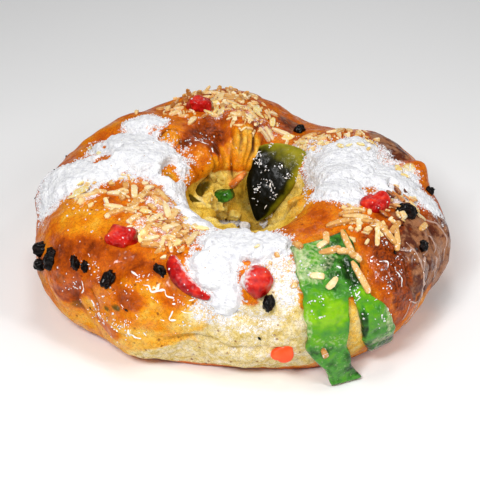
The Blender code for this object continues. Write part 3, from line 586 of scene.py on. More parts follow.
class Graph:
    """Node tree of a finish, with the few steps that all finishes are made of."""

    def __init__(self, finish: Finish) -> None:
        """Makes the material with its shader and Object coordinates."""
        self.made = bpy.data.materials.new(finish.name)
        self.made.use_nodes = True
        self.tree = self.made.node_tree
        self.shader = self.tree.nodes["Principled BSDF"]
        self.shader.inputs["Roughness"].default_value = finish.roughness
        self.coords = add(self.tree, "ShaderNodeTexCoord").outputs["Object"]

    def read(self, name: str) -> Socket:
        """Value of one of the piece's attributes."""
        return add(self.tree, "ShaderNodeAttribute", attribute_name=name).outputs["Fac"]

    def maths(self, operation: str, *values) -> Socket:
        """Result of one sum over values or sockets."""
        return add(self.tree, "ShaderNodeMath", dict(enumerate(values)), operation=operation).outputs[0]

    def sum_of(self, first: Socket, second: Socket, share: float) -> Socket:
        """First plus the centred second times a share."""
        return self.maths("MULTIPLY_ADD", self.maths("SUBTRACT", second, 0.5), share, first)

    def noise_of(self, millimetres: float, detail: float = 3.0, rough: float = 0.5) -> Socket:
        """Noise with features of that size."""
        return add(self.tree, "ShaderNodeTexNoise", {
            "Vector": self.coords, "Scale": per_metre(millimetres), "Detail": detail, "Roughness": rough,
        }).outputs["Fac"]

    def cells(self, millimetres: float, feature: str = "F1") -> Socket:
        """Distance to the nearest of scattered dots that far apart."""
        return add(self.tree, "ShaderNodeTexVoronoi", {
            "Vector": self.coords, "Scale": per_metre(millimetres)}, feature=feature).outputs["Distance"]

    def step(self, value: Socket, low: float, high: float) -> Socket:
        """Smooth step of a value."""
        return add(self.tree, "ShaderNodeMapRange", {"Value": value, "From Min": low, "From Max": high},
                   interpolation_type="SMOOTHSTEP").outputs["Result"]

    def span(self, value: Socket, low: float, high: float, start: float = 0.0, end: float = 1.0) -> Socket:
        """Straight run from start at low to end at high."""
        return add(self.tree, "ShaderNodeMapRange", {
            "Value": value, "From Min": low, "From Max": high, "To Min": start, "To Max": end,
        }).outputs["Result"]

    def ramp(self, value: Socket, stops: tuple) -> Socket:
        """Colour of a value along some stops."""
        return add(self.tree, "ShaderNodeValToRGB", {"Fac": value}, stops=stops).outputs["Color"]

    def blend(self, share: Socket, first: Socket | str, second: Socket | str) -> Socket:
        """Colour from first to second by a share; a colour is a socket or a hex code."""
        ends = [linear(one) if isinstance(one, str) else one for one in (first, second)]
        mixed = add(self.tree, "ShaderNodeMix", {0: share, 6: ends[0], 7: ends[1]}, data_type="RGBA")
        return mixed.outputs[2]

    def feed(self, name: str, source: Socket) -> None:
        """Links a socket to the shader."""
        self.tree.links.new(source, self.shader.inputs[name])

    def glow(self, weight: float, radius: tuple) -> None:
        """Lets light through the outer layer, as far as the radius says in metres."""
        self.shader.inputs["Subsurface Weight"].default_value = weight
        self.shader.inputs["Subsurface Radius"].default_value = radius
        self.shader.inputs["Subsurface Scale"].default_value = 1.0

    def relief(self, height: Socket, strength: float, distance: float, *names: str) -> None:
        """Bumps the shader's named normals by a height."""
        bump = add(self.tree, "ShaderNodeBump", {
            "Height": height, "Strength": strength, "Distance": distance})
        for name in names:
            self.feed(name, bump.outputs["Normal"])


@dataclass(frozen=True)
class CrustFinish(Finish):
    """Egg-washed, syrup-brushed yeast dough baked in an oven: golden where thin, brown on top, glassy."""

    golds: tuple = (
        (0.00, "#F6DE98"), (0.16, "#F2C04C"), (0.34, "#EC9A18"), (0.50, "#E07A08"), (0.64, "#C85A04"),
        (0.78, "#A04004"), (0.90, "#742A04"), (1.00, "#461804"),
    )
    crumbs: tuple = ((0.25, "#C9A74A"), (0.42, "#E4CB80"), (0.58, "#EEDDB0"), (0.75, "#F5E8D6"))
    walls: tuple = ((0.20, "#B4861C"), (0.40, "#E8BC40"), (0.60, "#F6D66A"), (0.85, "#FCEEB4"))

    # Roughness of the noises that have no other.
    ROUGH = 0.55

    def baked(self, graph: Graph, broad: Socket, mottle: Socket, fine: Socket) -> tuple[Socket, Socket]:
        """Colour of crust and crumb without any icing sugar, with painted shade in creases and hollows and a
        painted sheen on the purplish-brown glaze film.

        Args:
            graph: The material's graph.
            broad: Noise as large as a lobe of dough.
            mottle: Noise as large as a blister.
            fine: Noise as large as a pore.

        Returns:
            The colour and the share of torn crumb.
        """
        read, step, sum_of, blend = graph.read, graph.step, graph.sum_of, graph.blend
        browned = sum_of(sum_of(sum_of(read("bake"), broad, 0.40), mottle, 0.46), fine, 0.30)
        colour = graph.ramp(browned, self.golds)
        # The purplish-brown glaze film on the flanks: its own colour, with a broad sheen painted in where the
        # noises rise, as painted reflection.
        mauve = step(sum_of(read("mauve"), mottle, 0.9), 0.35, 0.75)
        shine = blend(step(sum_of(broad, mottle, 0.8), 0.40, 0.62), "#58281A", "#AC744E")
        colour = blend(mauve, colour, shine)
        red = step(sum_of(read("red"), mottle, 0.8), 0.35, 0.80)
        colour = blend(red, colour, blend(step(fine, 0.35, 0.65), "#541A05", "#A4440A"))
        torn = step(sum_of(read("crumb"), mottle, 0.5), 0.36, 0.60)
        colour = blend(torn, colour, graph.ramp(sum_of(mottle, fine, 0.5), self.crumbs))
        wall = step(sum_of(read("wall"), mottle, 0.5), 0.35, 0.65)
        colour = blend(wall, colour, graph.ramp(sum_of(read("paleness"), mottle, 0.5), self.walls))
        # Darker brown in the hole's pleats and in the small cracks: painted shade.
        colour = blend(step(sum_of(read("crevice"), fine, 0.3), 0.25, 1.0), colour, "#5A2B08")
        # Dark greenish brown in the hole's hollows, its dented front lip and at crease ends: painted shade.
        colour = blend(step(sum_of(read("olive"), fine, 0.4), 0.2, 0.9), colour, "#55470A")
        pores = graph.maths("MULTIPLY", step(sum_of(graph.cells(6.5), fine, 0.2), 0.16, 0.08), 0.75)
        colour = blend(pores, colour, "#7A3008")
        vein = graph.maths("ABSOLUTE", graph.maths("SUBTRACT", graph.noise_of(3.4, 6.0, 0.75), 0.5))
        veins = graph.maths("MULTIPLY", step(vein, 0.026, 0.004), 0.55)
        return blend(veins, colour, "#6E3410"), torn

    def dusting(self, graph: Graph) -> Socket:
        """Share of icing sugar on the crust: specks of it over a thin haze."""
        thick = graph.sum_of(graph.read("dust"), graph.noise_of(4.5, rough=self.ROUGH), 0.8)
        thick = graph.sum_of(thick, graph.noise_of(1.8, 2.0, self.ROUGH), 0.7)
        bare = graph.maths("MULTIPLY_ADD", thick, -1.5, graph.cells(0.9))
        haze = graph.maths("MULTIPLY", graph.step(thick, 0.20, 0.75), 0.62)
        return graph.maths("MAXIMUM", graph.step(bare, -0.05, -0.35), haze)

    def material(self) -> bpy.types.Material:
        """The crust's material, driven by the loaf's attributes."""
        graph = Graph(self)
        shader = graph.shader
        mottle, fine = graph.noise_of(5.0, 4.0, 0.6), graph.noise_of(1.6, 3.0, 0.65)
        colour, torn = self.baked(graph, graph.noise_of(16.0, rough=self.ROUGH), mottle, fine)
        powder = self.dusting(graph)
        graph.feed("Base Color", graph.blend(powder, colour, "#F1EFF0"))

        dry = graph.maths("MAXIMUM", powder, torn)
        gloss = graph.maths("MULTIPLY", graph.read("gloss"), graph.maths("SUBTRACT", 1.0, dry))
        graph.feed("Roughness", graph.span(gloss, 0.0, 1.0, 0.9, 0.38))
        patchy = graph.span(graph.noise_of(7.0, rough=self.ROUGH), 0.40, 0.62, 0.10, 0.9)
        graph.feed("Coat Weight", graph.maths("MULTIPLY", gloss, patchy))
        shader.inputs["Coat Roughness"].default_value = 0.06
        shader.inputs["Specular IOR Level"].default_value = 0.04
        graph.glow(0.03, (0.0030, 0.0014, 0.0005))

        powdery = graph.noise_of(0.9, 2.0, self.ROUGH)
        grit = add(graph.tree, "ShaderNodeMix", {0: dry, 2: mottle, 3: powdery}, data_type="FLOAT").outputs[0]
        graph.relief(graph.maths("ADD", grit, fine), self.bump, 0.0008, "Normal")
        drops = graph.step(graph.cells(2.6, "SMOOTH_F1"), 0.42, 0.10)
        drops = graph.maths("MULTIPLY", drops, graph.maths("MULTIPLY_ADD", graph.read("beads"), 2.5, 0.6))
        ripple = graph.maths("MULTIPLY_ADD", graph.noise_of(9.0, 2.0, self.ROUGH), 3.0, drops)
        graph.relief(ripple, 0.9, 0.0006, "Coat Normal")
        return graph.made


@dataclass(frozen=True)
class SugarFinish(Finish):
    """Icing sugar, sieved and clotted into heaps: white, with painted shade of faint cool grey in the hollows
    between clumps, wholly matt and grainy.
    """

    def material(self) -> bpy.types.Material:
        """The powder's material."""
        graph = Graph(self)
        clot_relief_and_shade, powder = graph.noise_of(3.0, 4.0), graph.noise_of(1.3)
        # The clumps' noise also raises the relief, so the sugar is cool grey in the hollows and white on the
        # tops: painted shade.
        white = graph.ramp(clot_relief_and_shade, ((0.28, "#DCDCE2"), (0.46, "#F0F0F3"), (0.64, "#FBFBFC")))
        flecks = graph.span(graph.cells(6.0), 0.075, 0.045)
        graph.feed("Base Color", graph.blend(flecks, white, "#B98E52"))
        graph.shader.inputs["Specular IOR Level"].default_value = 0.1
        graph.glow(0.08, (0.0012, 0.0012, 0.0013))
        graph.relief(graph.maths("MULTIPLY_ADD", clot_relief_and_shade, 0.8, powder), self.bump, 0.0013, "Normal")
        return graph.made


@dataclass(frozen=True)
class ThreadFinish(Finish):
    """A smooth glassy thread in one colour: white where it stands in for glints on the glaze as a painted
    highlight, pale purplish brown where it is a strand of glaze film with a painted sheen.
    """

    tone: str = "#FFFFFF"

    def material(self) -> bpy.types.Material:
        """The thread's material."""
        graph = Graph(self)
        shader = graph.shader
        shader.inputs["Base Color"].default_value = linear(self.tone)
        shader.inputs["Coat Weight"].default_value = 1.0
        shader.inputs["Coat Roughness"].default_value = 0.05
        return graph.made


@dataclass(frozen=True)
class SyrupFinish(Finish):
    """Fruit candied in syrup: glassy, a little see-through, with drops of syrup and sugar grains on it."""

    tones: tuple = ((0.2, "#800000"), (0.8, "#FF0000"))
    glow: tuple = (0.004, 0.001, 0.0005)
    glow_weight: float = 0.25
    mottling: float = 0.45
    coat: float = 0.6
    frost: str = "#F2F2F2"
    feature: float = 5.0

    def material(self) -> bpy.types.Material:
        """The fruit's material; attribute tone goes along its colours and frost whitens it."""
        graph = Graph(self)
        shader = graph.shader
        cloud, fine = graph.noise_of(self.feature, 4.0), graph.noise_of(1.8, 2.0)
        colour = graph.ramp(graph.sum_of(graph.read("tone"), cloud, self.mottling), self.tones)
        share = graph.span(graph.maths("MULTIPLY_ADD", fine, 0.9, graph.read("frost")), 0.66, 1.12)
        graph.feed("Base Color", graph.blend(share, colour, self.frost))
        graph.feed("Roughness", graph.span(share, 0.0, 1.0, self.roughness, 0.8))
        shader.inputs["Coat Weight"].default_value = self.coat
        shader.inputs["Coat IOR"].default_value = 1.34
        shader.inputs["Coat Roughness"].default_value = 0.06
        shader.inputs["Specular IOR Level"].default_value = 0.10
        graph.glow(self.glow_weight, self.glow)
        height = graph.maths("MULTIPLY_ADD", cloud, 1.5, graph.cells(2.4, "SMOOTH_F1"))
        graph.relief(height, self.bump, 0.0010, "Normal", "Coat Normal")
        return graph.made


@dataclass(frozen=True)
class RaisinFinish(Finish):
    """Sun-dried grape skin, scorched by the oven: nearly black, wrinkled, with a satin shine; the raised
    wrinkles are painted lighter brown as a painted highlight.
    """

    def material(self) -> bpy.types.Material:
        """The skin's material."""
        graph = Graph(self)
        shader = graph.shader
        cloud = graph.noise_of(2.2, 4.0)
        # The same noise raises the wrinkles, so they are lighter brown where they rise: painted highlight.
        graph.feed("Base Color", graph.ramp(cloud, ((0.35, "#040303"), (0.55, "#0E0908"), (0.75, "#2A1510"))))
        shader.inputs["Specular IOR Level"].default_value = 0.05
        shader.inputs["Coat Weight"].default_value = 0.22
        shader.inputs["Coat Roughness"].default_value = 0.10
        graph.relief(cloud, self.bump, 0.0010, "Normal")
        return graph.made


@dataclass(frozen=True)
class AlmondFinish(Finish):
    """Blanched almond, cut into slivers and baked: cream flesh with toasted edges, dry, under some powder."""

    tones: tuple = ((0.0, "#FAE8BC"), (0.35, "#F1CF8E"), (0.65, "#E0A656"), (1.0, "#B06A22"))
    powder: float = 0.0

    def material(self) -> bpy.types.Material:
        """The nut's material; attribute shade differs from piece to piece and edge marks the corners."""
        graph = Graph(self)
        streak = graph.noise_of(1.8)
        toasted = graph.maths("MULTIPLY_ADD", graph.read("edge"), 0.30, graph.read("shade"))
        colour = graph.ramp(graph.sum_of(toasted, streak, 0.6), self.tones)
        share = graph.span(graph.noise_of(1.4, 2.0), 0.66 - self.powder, 0.74 - self.powder)
        graph.feed("Base Color", graph.blend(share, colour, "#F8F7F6"))
        graph.glow(0.15, (0.0015, 0.0010, 0.0005))
        graph.relief(streak, self.bump, 0.0005, "Normal")
        return graph.made


# Geometry Nodes that strew small shapes


class ShapeTree:
    """Tree that copies small shapes onto points; each kind of tree says where and how turned."""

    TITLE = ""
    INPUTS: tuple = ()

    def __init__(self) -> None:
        """Makes the tree with its named inputs and fills it."""
        self.tree = bpy.data.node_groups.new(self.TITLE, "GeometryNodeTree")
        sockets = self.tree.interface
        sockets.new_socket("Geometry", in_out="INPUT", socket_type="NodeSocketGeometry")
        for name, kind in (("Shapes", "Collection"), ("Finish", "Material"), *self.INPUTS):
            sockets.new_socket(name, in_out="INPUT", socket_type=f"NodeSocket{kind}")
        sockets.new_socket("Geometry", in_out="OUTPUT", socket_type="NodeSocketGeometry")
        self.given = self.tree.nodes.new("NodeGroupInput").outputs
        real = self.node("GeometryNodeRealizeInstances", {0: self.copies()})[0]
        dressed = self.node("GeometryNodeSetMaterial", {
            "Geometry": real, "Material": self.given["Finish"]})[0]
        out = self.tree.nodes.new("NodeGroupOutput")
        self.tree.links.new(dressed, out.inputs[0])

    def node(self, kind: str, inputs: dict, **settings) -> bpy.types.NodeOutputs:
        """Outputs of a new node."""
        return add(self.tree, kind, inputs, **settings).outputs

    def copy(self, **inputs) -> Socket:
        """One of the shapes on each point."""
        shapes = self.node("GeometryNodeCollectionInfo", {
            "Collection": self.given["Shapes"], "Separate Children": True, "Reset Children": True})[0]
        return self.node("GeometryNodeInstanceOnPoints", {
            "Instance": shapes, "Pick Instance": True, **inputs})[0]

    def copies(self) -> Socket:
        """The shapes in their places."""
        raise NotImplementedError


class StrewTree(ShapeTree):
    """Tree that strews shapes over a surface, denser where an attribute of the surface says so."""

    TITLE = "strewn pieces"
    INPUTS = (
        ("Mask", "String"), ("Density", "Float"), ("Smallest", "Float"), ("Largest", "Float"),
        ("Lift", "Float"), ("Tilt", "Float"), ("Seed", "Int"),
    )

    def copies(self) -> Socket:
        """The shapes on random points of the surface, with their shades."""
        given, node = self.given, self.node
        mask = node("GeometryNodeInputNamedAttribute", {
            "Name": given["Mask"]}, data_type="FLOAT")["Attribute"]
        density = node("ShaderNodeMath", {0: mask, 1: given["Density"]}, operation="MULTIPLY")[0]
        points = node("GeometryNodeDistributePointsOnFaces", {
            "Mesh": given["Geometry"], "Density": density, "Seed": given["Seed"]})
        offset = node("ShaderNodeVectorMath", {
            0: points["Normal"], "Scale": given["Lift"]}, operation="SCALE")[0]
        moved = node("GeometryNodeSetPosition", {"Geometry": points["Points"], "Offset": offset})[0]
        back = node("ShaderNodeMath", {0: given["Tilt"], 1: -1.0}, operation="MULTIPLY")[0]
        lowest = node("ShaderNodeCombineXYZ", {0: back, 1: back, 2: 0.0})[0]
        highest = node("ShaderNodeCombineXYZ", {0: given["Tilt"], 1: given["Tilt"], 2: math.tau})[0]
        spin = node("FunctionNodeRandomValue", {
            0: lowest, 1: highest, "Seed": given["Seed"]}, data_type="FLOAT_VECTOR")[0]
        turned = node("FunctionNodeEulerToRotation", {0: spin})[0]
        pose = node("FunctionNodeRotateRotation", {
            "Rotation": points["Rotation"], "Rotate By": turned}, rotation_space="LOCAL")[0]
        size = node("FunctionNodeRandomValue", {
            2: given["Smallest"], 3: given["Largest"], "ID": 7, "Seed": given["Seed"]}, data_type="FLOAT")[1]
        shares = node("FunctionNodeRandomValue", {
            0: (0.65, 0.65, 0.65), 1: (1.35, 1.35, 1.35), "Seed": 3}, data_type="FLOAT_VECTOR")[0]
        extent = node("ShaderNodeVectorMath", {0: shares, "Scale": size}, operation="SCALE")[0]
        shade = node("FunctionNodeRandomValue", {2: 0.0, 3: 0.55, "Seed": 11}, data_type="FLOAT")[1]
        placed = self.copy(Points=moved, Rotation=pose, Scale=extent)
        return node("GeometryNodeStoreNamedAttribute", {
            "Geometry": placed, "Name": "shade", "Value": shade}, data_type="FLOAT", domain="INSTANCE")[0]


class PlaceTree(ShapeTree):
    """Tree that sets a shape on each point of a plan, by the points' spin, extent, kind and shade."""

    TITLE = "placed pieces"

    def copies(self) -> Socket:
        """The shapes on the plan's points."""
        spin, extent, which = (
            self.node("GeometryNodeInputNamedAttribute", {"Name": name}, data_type=kind)["Attribute"]
            for name, kind in (("spin", "FLOAT_VECTOR"), ("extent", "FLOAT_VECTOR"), ("kind", "INT")))
        turned = self.node("FunctionNodeEulerToRotation", {0: spin})[0]
        return self.copy(**{"Points": self.given["Geometry"], "Instance Index": which, "Rotation": turned,
                            "Scale": extent})


def run_tree(name: str, carrier: bpy.types.Mesh, tree: bpy.types.NodeTree,
             values: dict) -> bpy.types.Object:
    """Runs a Geometry Nodes tree on a mesh and keeps its result as a plain mesh with flat faces.

    Args:
        name: Name of the new piece.
        carrier: Mesh that the tree starts from.
        tree: The tree.
        values: Its named inputs.

    Returns:
        The new object, with no modifier on it.
    """
    holder = bpy.data.objects.new("holder", carrier)
    bpy.context.scene.collection.objects.link(holder)
    worker = holder.modifiers.new("nodes", "NODES")
    worker.node_group = tree
    for item in tree.interface.items_tree:
        if item.in_out == "INPUT" and item.name in values:
            worker[item.identifier] = values[item.name]
    graph = bpy.context.evaluated_depsgraph_get()
    result = bpy.data.meshes.new_from_object(holder.evaluated_get(graph))
    holder.modifiers.remove(worker)
    bpy.data.objects.remove(holder)
    result.name = name
    result.shade_flat()
    made = bpy.data.objects.new(name, result)
    bpy.context.scene.collection.objects.link(made)
    return made


class ShapeBox:
    """Small shapes that the trees copy, kept out of the picture in collections of their own."""

    def __init__(self, name: str) -> None:
        """Makes an empty collection that isn't in the scene."""
        self.collection = bpy.data.collections.new(name)

    def put(self, points: np.ndarray, faces: list, edges: np.ndarray) -> None:
        """Adds one shape with its edge attribute."""
        count = len(self.collection.objects)
        shape = mesh_object(f"{self.collection.name}_{count}", points, faces)
        mark(shape, "edge", edges)
        bpy.context.scene.collection.objects.unlink(shape)
        self.collection.objects.link(shape)

    def rod(self, stations: tuple, spokes: int, square: float, bow: float, seed: int,
            slim: tuple = (1, 1)) -> None:
        """Adds a closed rod along X of length 1.

        Args:
            stations: Rows of place along X, share of the width and share of the height.
            spokes: Corners of its section.
            square: Power of the section, 1 for round and towards 0 for a box.
            bow: Rise of its middle over its ends.
            seed: Which unevenness.
            slim: Width and height.
        """
        points, edges = [], []
        for place, wide, thick in stations:
            for j in range(spokes):
                spin = math.tau * (j + 0.5) / spokes
                y, z = math.cos(spin), math.sin(spin)
                y = math.copysign(abs(y) ** square, y) * wide / 2
                z = math.copysign(abs(z) ** square, z) * thick / 2
                rough = 1 + 0.22 * noise.noise(Vector((place * 4, y * 3, z * 3 + seed * 5.0)))
                rise = bow * (1 - 4 * place * place)
                points.append((place, y * rough * slim[0], z * rough * slim[1] + rise))
                edges.append(max(abs(place) * 1.6 - 0.3, 0.0) + 0.35 * abs(y / max(wide, 0.01)))
        self.put(np.array(points), tube_faces(len(stations), spokes, flip=True), np.array(edges))

    def flake(self, corners: int, slim: tuple, seed: int) -> None:
        """Adds a thin slice of length 1 with straight broken edges.

        Args:
            corners: Corners of its outline.
            slim: Width and height.
            seed: Which outline.
        """
        draw = random.Random(seed)
        spins = [math.tau * (number + draw.uniform(-0.3, 0.3)) / corners for number in range(corners)]
        reaches = [draw.uniform(0.36, 0.56) for _ in spins]
        points, edges = [], []
        for share, level, edge in ((0.78, 0.5, 0.0), (1.0, 0.2, 1.0), (0.9, -0.5, 0.8)):
            for spin, reach in zip(spins, reaches):
                x, y = reach * share * math.cos(spin), reach * share * math.sin(spin)
                points.append((x, y * slim[0], level * slim[1] * (1 - 0.7 * x)))
                edges.append(edge)
        faces = [tuple(range(corners)), tuple(reversed(range(2 * corners, 3 * corners)))]
        for row in (0, corners):
            for j in range(corners):
                beside = (j + 1) % corners
                faces.append((row + j, row + corners + j, row + corners + beside, row + beside))
        self.put(np.array(points), faces, np.array(edges))

    def pebble(self, rows: int, columns: int, rough: float, seed: int) -> None:
        """Adds an uneven grain of diameter 1."""
        points, faces = sphere_grid(rows, columns)
        shift = Vector((seed * 9.0, 0, 0))
        shaped = [Vector(p) * 0.5 * (1 + rough * noise.noise(Vector(p) * 1.7 + shift)) for p in points]
        self.put(np.array(shaped), faces, np.abs(points[:, 2]))


# The loaf


@dataclass
class Loaf:
    """The dough ring with its crust, torn crumb, pleated hole and baked underside."""

    form: RingForm
    finish: CrustFinish
    ring_steps: int = 480
    crust_steps: int = 190
    base_steps: int = 10
    deepest_crease: float = 0.006
    deepest_crack: float = 0.0028
    bake: tuple = (
        (212, 58, 14, 16, 0.40), (204, 84, 12, 8, 0.60), (180, 73, 9, 8, 0.54), (190, 116, 7, 6, 0.42),
        (231, 46, 17, 12, 0.76), (222, 33, 14, 10, 0.70), (216, 28, 5, 20, 0.80), (244, 30, 8, 12, 0.52),
        (250, 20, 11, 18, 0.34), (245, -8, 16, 12, 0.20), (258, 8, 8, 14, 0.16), (231, 12, 8, 12, 0.50),
        (223, 10, 6, 18, 0.66), (206, 8, 10, 26, 0.56), (213, -5, 8, 14, 0.46), (228, -30, 16, 16, 0.30),
        (250, -24, 16, 12, 0.14), (222, 96, 30, 14, 0.54), (302, 103, 11, 14, 0.64),
        (308, 114, 12, 8, 0.38), (314, 40, 7, 26, 0.80), (311, 6, 6, 20, 0.66), (322, 66, 12, 12, 0.70),
        (331, 30, 16, 36, 0.80), (344, 10, 10, 34, 0.76), (0, 50, 5, 7, 0.60), (20, 60, 16, 14, 0.78),
        (0, 10, 24, 30, 0.68), (114, 116, 23, 18, 0.84), (130, 122, 16, 12, 0.76), (152, 108, 8, 10, 0.52),
        (156, 130, 18, 12, 0.58), (98, 138, 12, 14, 0.44), (88, 106, 20, 16, 0.64), (84, 130, 13, 18, 0.28),
        (132, 144, 22, 7, 0.40), (112, 140, 6, 12, 0.30), (120, 128, 7, 8, 0.86), (138, 116, 8, 6, 0.80),
        (50, 98, 22, 14, 0.56), (300, 0, 3.5, 30, 0.10), (281, 46, 6, 24, 0.26), (228, 60, 5, 6, 0.62),
        (240, 22, 5, 8, 0.66), (251, 30, 4, 8, 0.56), (219, 4, 4, 8, 0.80), (233, -8, 5, 6, 0.60),
        (226, 0, 3, 10, 0.36), (345, 148, 26, 20, 0.22), (147, 104, 7, 8, 0.46), (36, 84, 10, 10, 0.60),
        (66, 78, 10, 12, 0.76), (100, 66, 50, 16, 0.62), (146, 76, 10, 16, 0.52), (120, 14, 60, 30, 0.56),
        (56, 10, 40, 30, 0.62), (184, 30, 14, 30, 0.62), (84, 26, 18, 16, 0.70), (140, 10, 14, 20, 0.68),
        (40, 4, 14, 18, 0.72), (112, -8, 24, 12, 0.42), (66, -14, 16, 10, 0.46),
    )
    crumb: tuple = (
        (96, -32, 26, 13, 0.8), (150, -30, 18, 11, 0.7), (30, -34, 20, 10, 0.7), (274, -12, 17, 42, 1.0),
        (252, -30, 16, 18, 0.7), (280, 14, 9, 16, 0.95), (280, 36, 6, 14, 0.85), (2, 60, 3, 5, 0.6),
    )
    # Where the purplish-brown glaze film lies; its colour is partly a painted sheen.
    mauve: tuple = (
        (329, 26, 12, 40, 1.0), (345, 0, 10, 42, 0.9), (21, 60, 12, 14, 0.95), (66, 79, 9, 9, 0.65),
        (190, 40, 6, 20, 0.45), (322, 54, 6, 9, 0.75),
    )
    red: tuple = (
        (315, 50, 5, 15, 1.0), (315, 30, 4.5, 16, 0.9), (313.5, 13, 4, 12, 0.7), (322, 58, 6, 6, 0.7),
        (116, 117, 13, 10, 0.85), (126, 126, 8, 6, 0.5), (104, 130, 6, 6, 0.35), (130, 128, 9, 6, 0.4),
        (232, 48, 8, 6, 0.25),
    )
    gloss: tuple = (
        (236, 24, 28, 36, 0.9), (313, 40, 9, 28, 1.0), (138, 128, 28, 16, 1.0), (100, 120, 16, 20, 0.9),
        (212, 58, 16, 16, 0.6), (332, 20, 14, 40, 0.75),
    )
    dust: tuple = (
        (187, 40, 12, 24, 0.62), (197, 70, 9, 10, 0.58), (347, 68, 13, 20, 0.58), (348, 36, 7, 16, 0.58),
        (283, 56, 5, 30, 0.58), (36, 106, 17, 12, 0.50), (272, 14, 10, 14, 0.40), (274, -8, 12, 14, 0.22),
        (144, 86, 9, 9, 0.60), (238, 82, 14, 12, 0.42), (225, 100, 14, 10, 0.44), (262, 20, 6, 14, 0.52),
        (10, 74, 10, 12, 0.50), (88, 96, 24, 8, 0.34),
    )
    # Where dark greenish brown is painted as shade: in the hole, in its dented front lip and at the ends of
    # creases low on the front.
    olive: tuple = (
        (152, 157, 22, 6, 0.9), (186, 151, 6, 8, 1.0), (26, 156, 8, 18, 0.5), (60, 178, 40, 16, 0.6),
        (300, 162, 14, 14, 0.4), (200, 176, 20, 10, 0.4), (270, 130, 20, 16, 0.45), (190, 116, 4, 4, 0.5),
        (262, 10, 3, 8, 0.3), (276, 2, 6, 3, 0.3), (207, 0, 4, 14, 0.45), (222, -6, 2.5, 5, 0.6),
        (236, 12, 1.6, 2.5, 0.8), (233, 8, 1.2, 2, 0.8), (218, 18, 2, 5, 0.4),
    )
    golden: tuple = (
        (345, 146, 26, 16, 1.0), (308, 118, 14, 12, 1.0), (98, 138, 14, 12, 0.8), (82, 136, 10, 12, 0.7),
    )
    # Where drops are raised in the glaze and white grains and dashes stand in for glints: painted highlights.
    beads: tuple = (
        (233, 10, 13, 22, 0.8), (247, 22, 12, 22, 0.9), (226, 24, 10, 20, 0.45), (315, 38, 6, 28, 1.0),
        (138, 128, 18, 11, 1.0), (98, 136, 6, 6, 0.7), (214, 66, 22, 16, 0.25), (112, 92, 14, 10, 0.4),
        (70, 92, 14, 10, 0.35), (308, 112, 8, 8, 0.3), (116, 118, 14, 11, 0.7),
    )
    clean: tuple = ((142, 133, 14, 11, 1.0), (124, 120, 16, 12, 1.0), (340, 22, 8, 30, 0.6))
    chopped: tuple = (
        (230, 92, 24, 20, 1.0), (244, 76, 8, 16, 0.9), (206, 86, 12, 10, 0.35), (200, 70, 10, 8, 0.6),
        (317, 76, 9, 14, 1.0), (331, 66, 12, 12, 0.8), (345, 68, 10, 14, 0.55), (97, 82, 26, 14, 1.0),
        (104, 70, 16, 8, 0.7), (84, 72, 12, 6, 0.5), (88, 104, 12, 14, 0.7), (38, 104, 16, 12, 1.0),
        (26, 84, 12, 12, 0.8), (124, 84, 10, 8, 0.6), (283, 60, 4, 26, 0.45), (290, 100, 8, 6, 0.2),
    )
    sliced: tuple = (
        (93, 92, 20, 9, 1.0), (80, 88, 12, 8, 1.0), (62, 92, 8, 5, 0.7), (197, 70, 9, 9, 1.0),
        (226, 84, 14, 12, 0.5), (246, 86, 8, 12, 0.6), (345, 70, 8, 8, 0.5), (38, 100, 12, 8, 0.6),
        (276, 20, 8, 8, 0.4),
    )
    dark_bits: tuple = (
        (313, 24, 6, 8, 0.9), (325, 50, 12, 14, 0.45), (236, 12, 16, 14, 0.10), (272, 14, 12, 14, 0.14),
        (350, 70, 14, 14, 0.25), (60, 20, 50, 30, 0.05), (140, 30, 50, 30, 0.05), (205, 12, 8, 20, 0.2),
        (184, 55, 10, 20, 0.12), (250, -4, 14, 8, 0.10),
    )

    def surface(self, angle: Numbers, turn: Numbers, lift: Numbers = 0.0) -> np.ndarray:
        """Points on the loaf as built here, with its fine relief, or lifted off it."""
        angle, turn = np.broadcast_arrays(np.asarray(angle, float), np.asarray(turn, float))
        base = self.form.smooth_section(angle, turn)
        torn = paint(0.0, self.crumb, angle, turn, self.warp(base))
        return self.form.crust(angle, turn, self.form.fine_relief(angle, turn, base, torn) + lift)

    @staticmethod
    def warp(base: np.ndarray) -> np.ndarray:
        """Unevenness of the painted ovals' edges."""
        return 0.16 * billow(base, 0.014, 31, 3)

    def build(self) -> bpy.types.Object:
        """Builds the loaf's mesh and its attributes.

        Returns:
            The finished piece.
        """
        form = self.form
        angles = np.arange(self.ring_steps) * 360.0 / self.ring_steps
        turns = np.linspace(180.0 + form.foot_turn, -form.foot_turn, self.crust_steps)
        angle, turn = np.meshgrid(angles, turns, indexing="ij")
        base = form.smooth_section(angle, turn)
        warp = self.warp(base)
        torn = paint(0.0, self.crumb, angle, turn, warp)
        fine = form.fine_relief(angle, turn, base, torn)
        points = form.crust(angle, turn, fine)
        points[:, (0, -1), 2] = 0.0
        share = np.linspace(0, 1, self.base_steps + 2)[1:-1][None, :, None]
        under = points[:, -1:, :] * (1 - share) + points[:, :1, :] * share
        section = np.concatenate([points, under], 1)
        steps = section.shape[1]
        here = np.arange(self.ring_steps)[:, None] * steps + np.arange(steps)[None, :]
        beside, above = np.roll(here, -1, 0), np.roll(here, -1, 1)
        faces = np.stack([here, above, np.roll(beside, -1, 1), beside], -1).reshape(-1, 4)
        loaf = mesh_object("loaf", section.reshape(-1, 3), faces.tolist(), self.finish.material())
        self.mark_all(loaf, angle, turn, base, torn, warp)
        return loaf

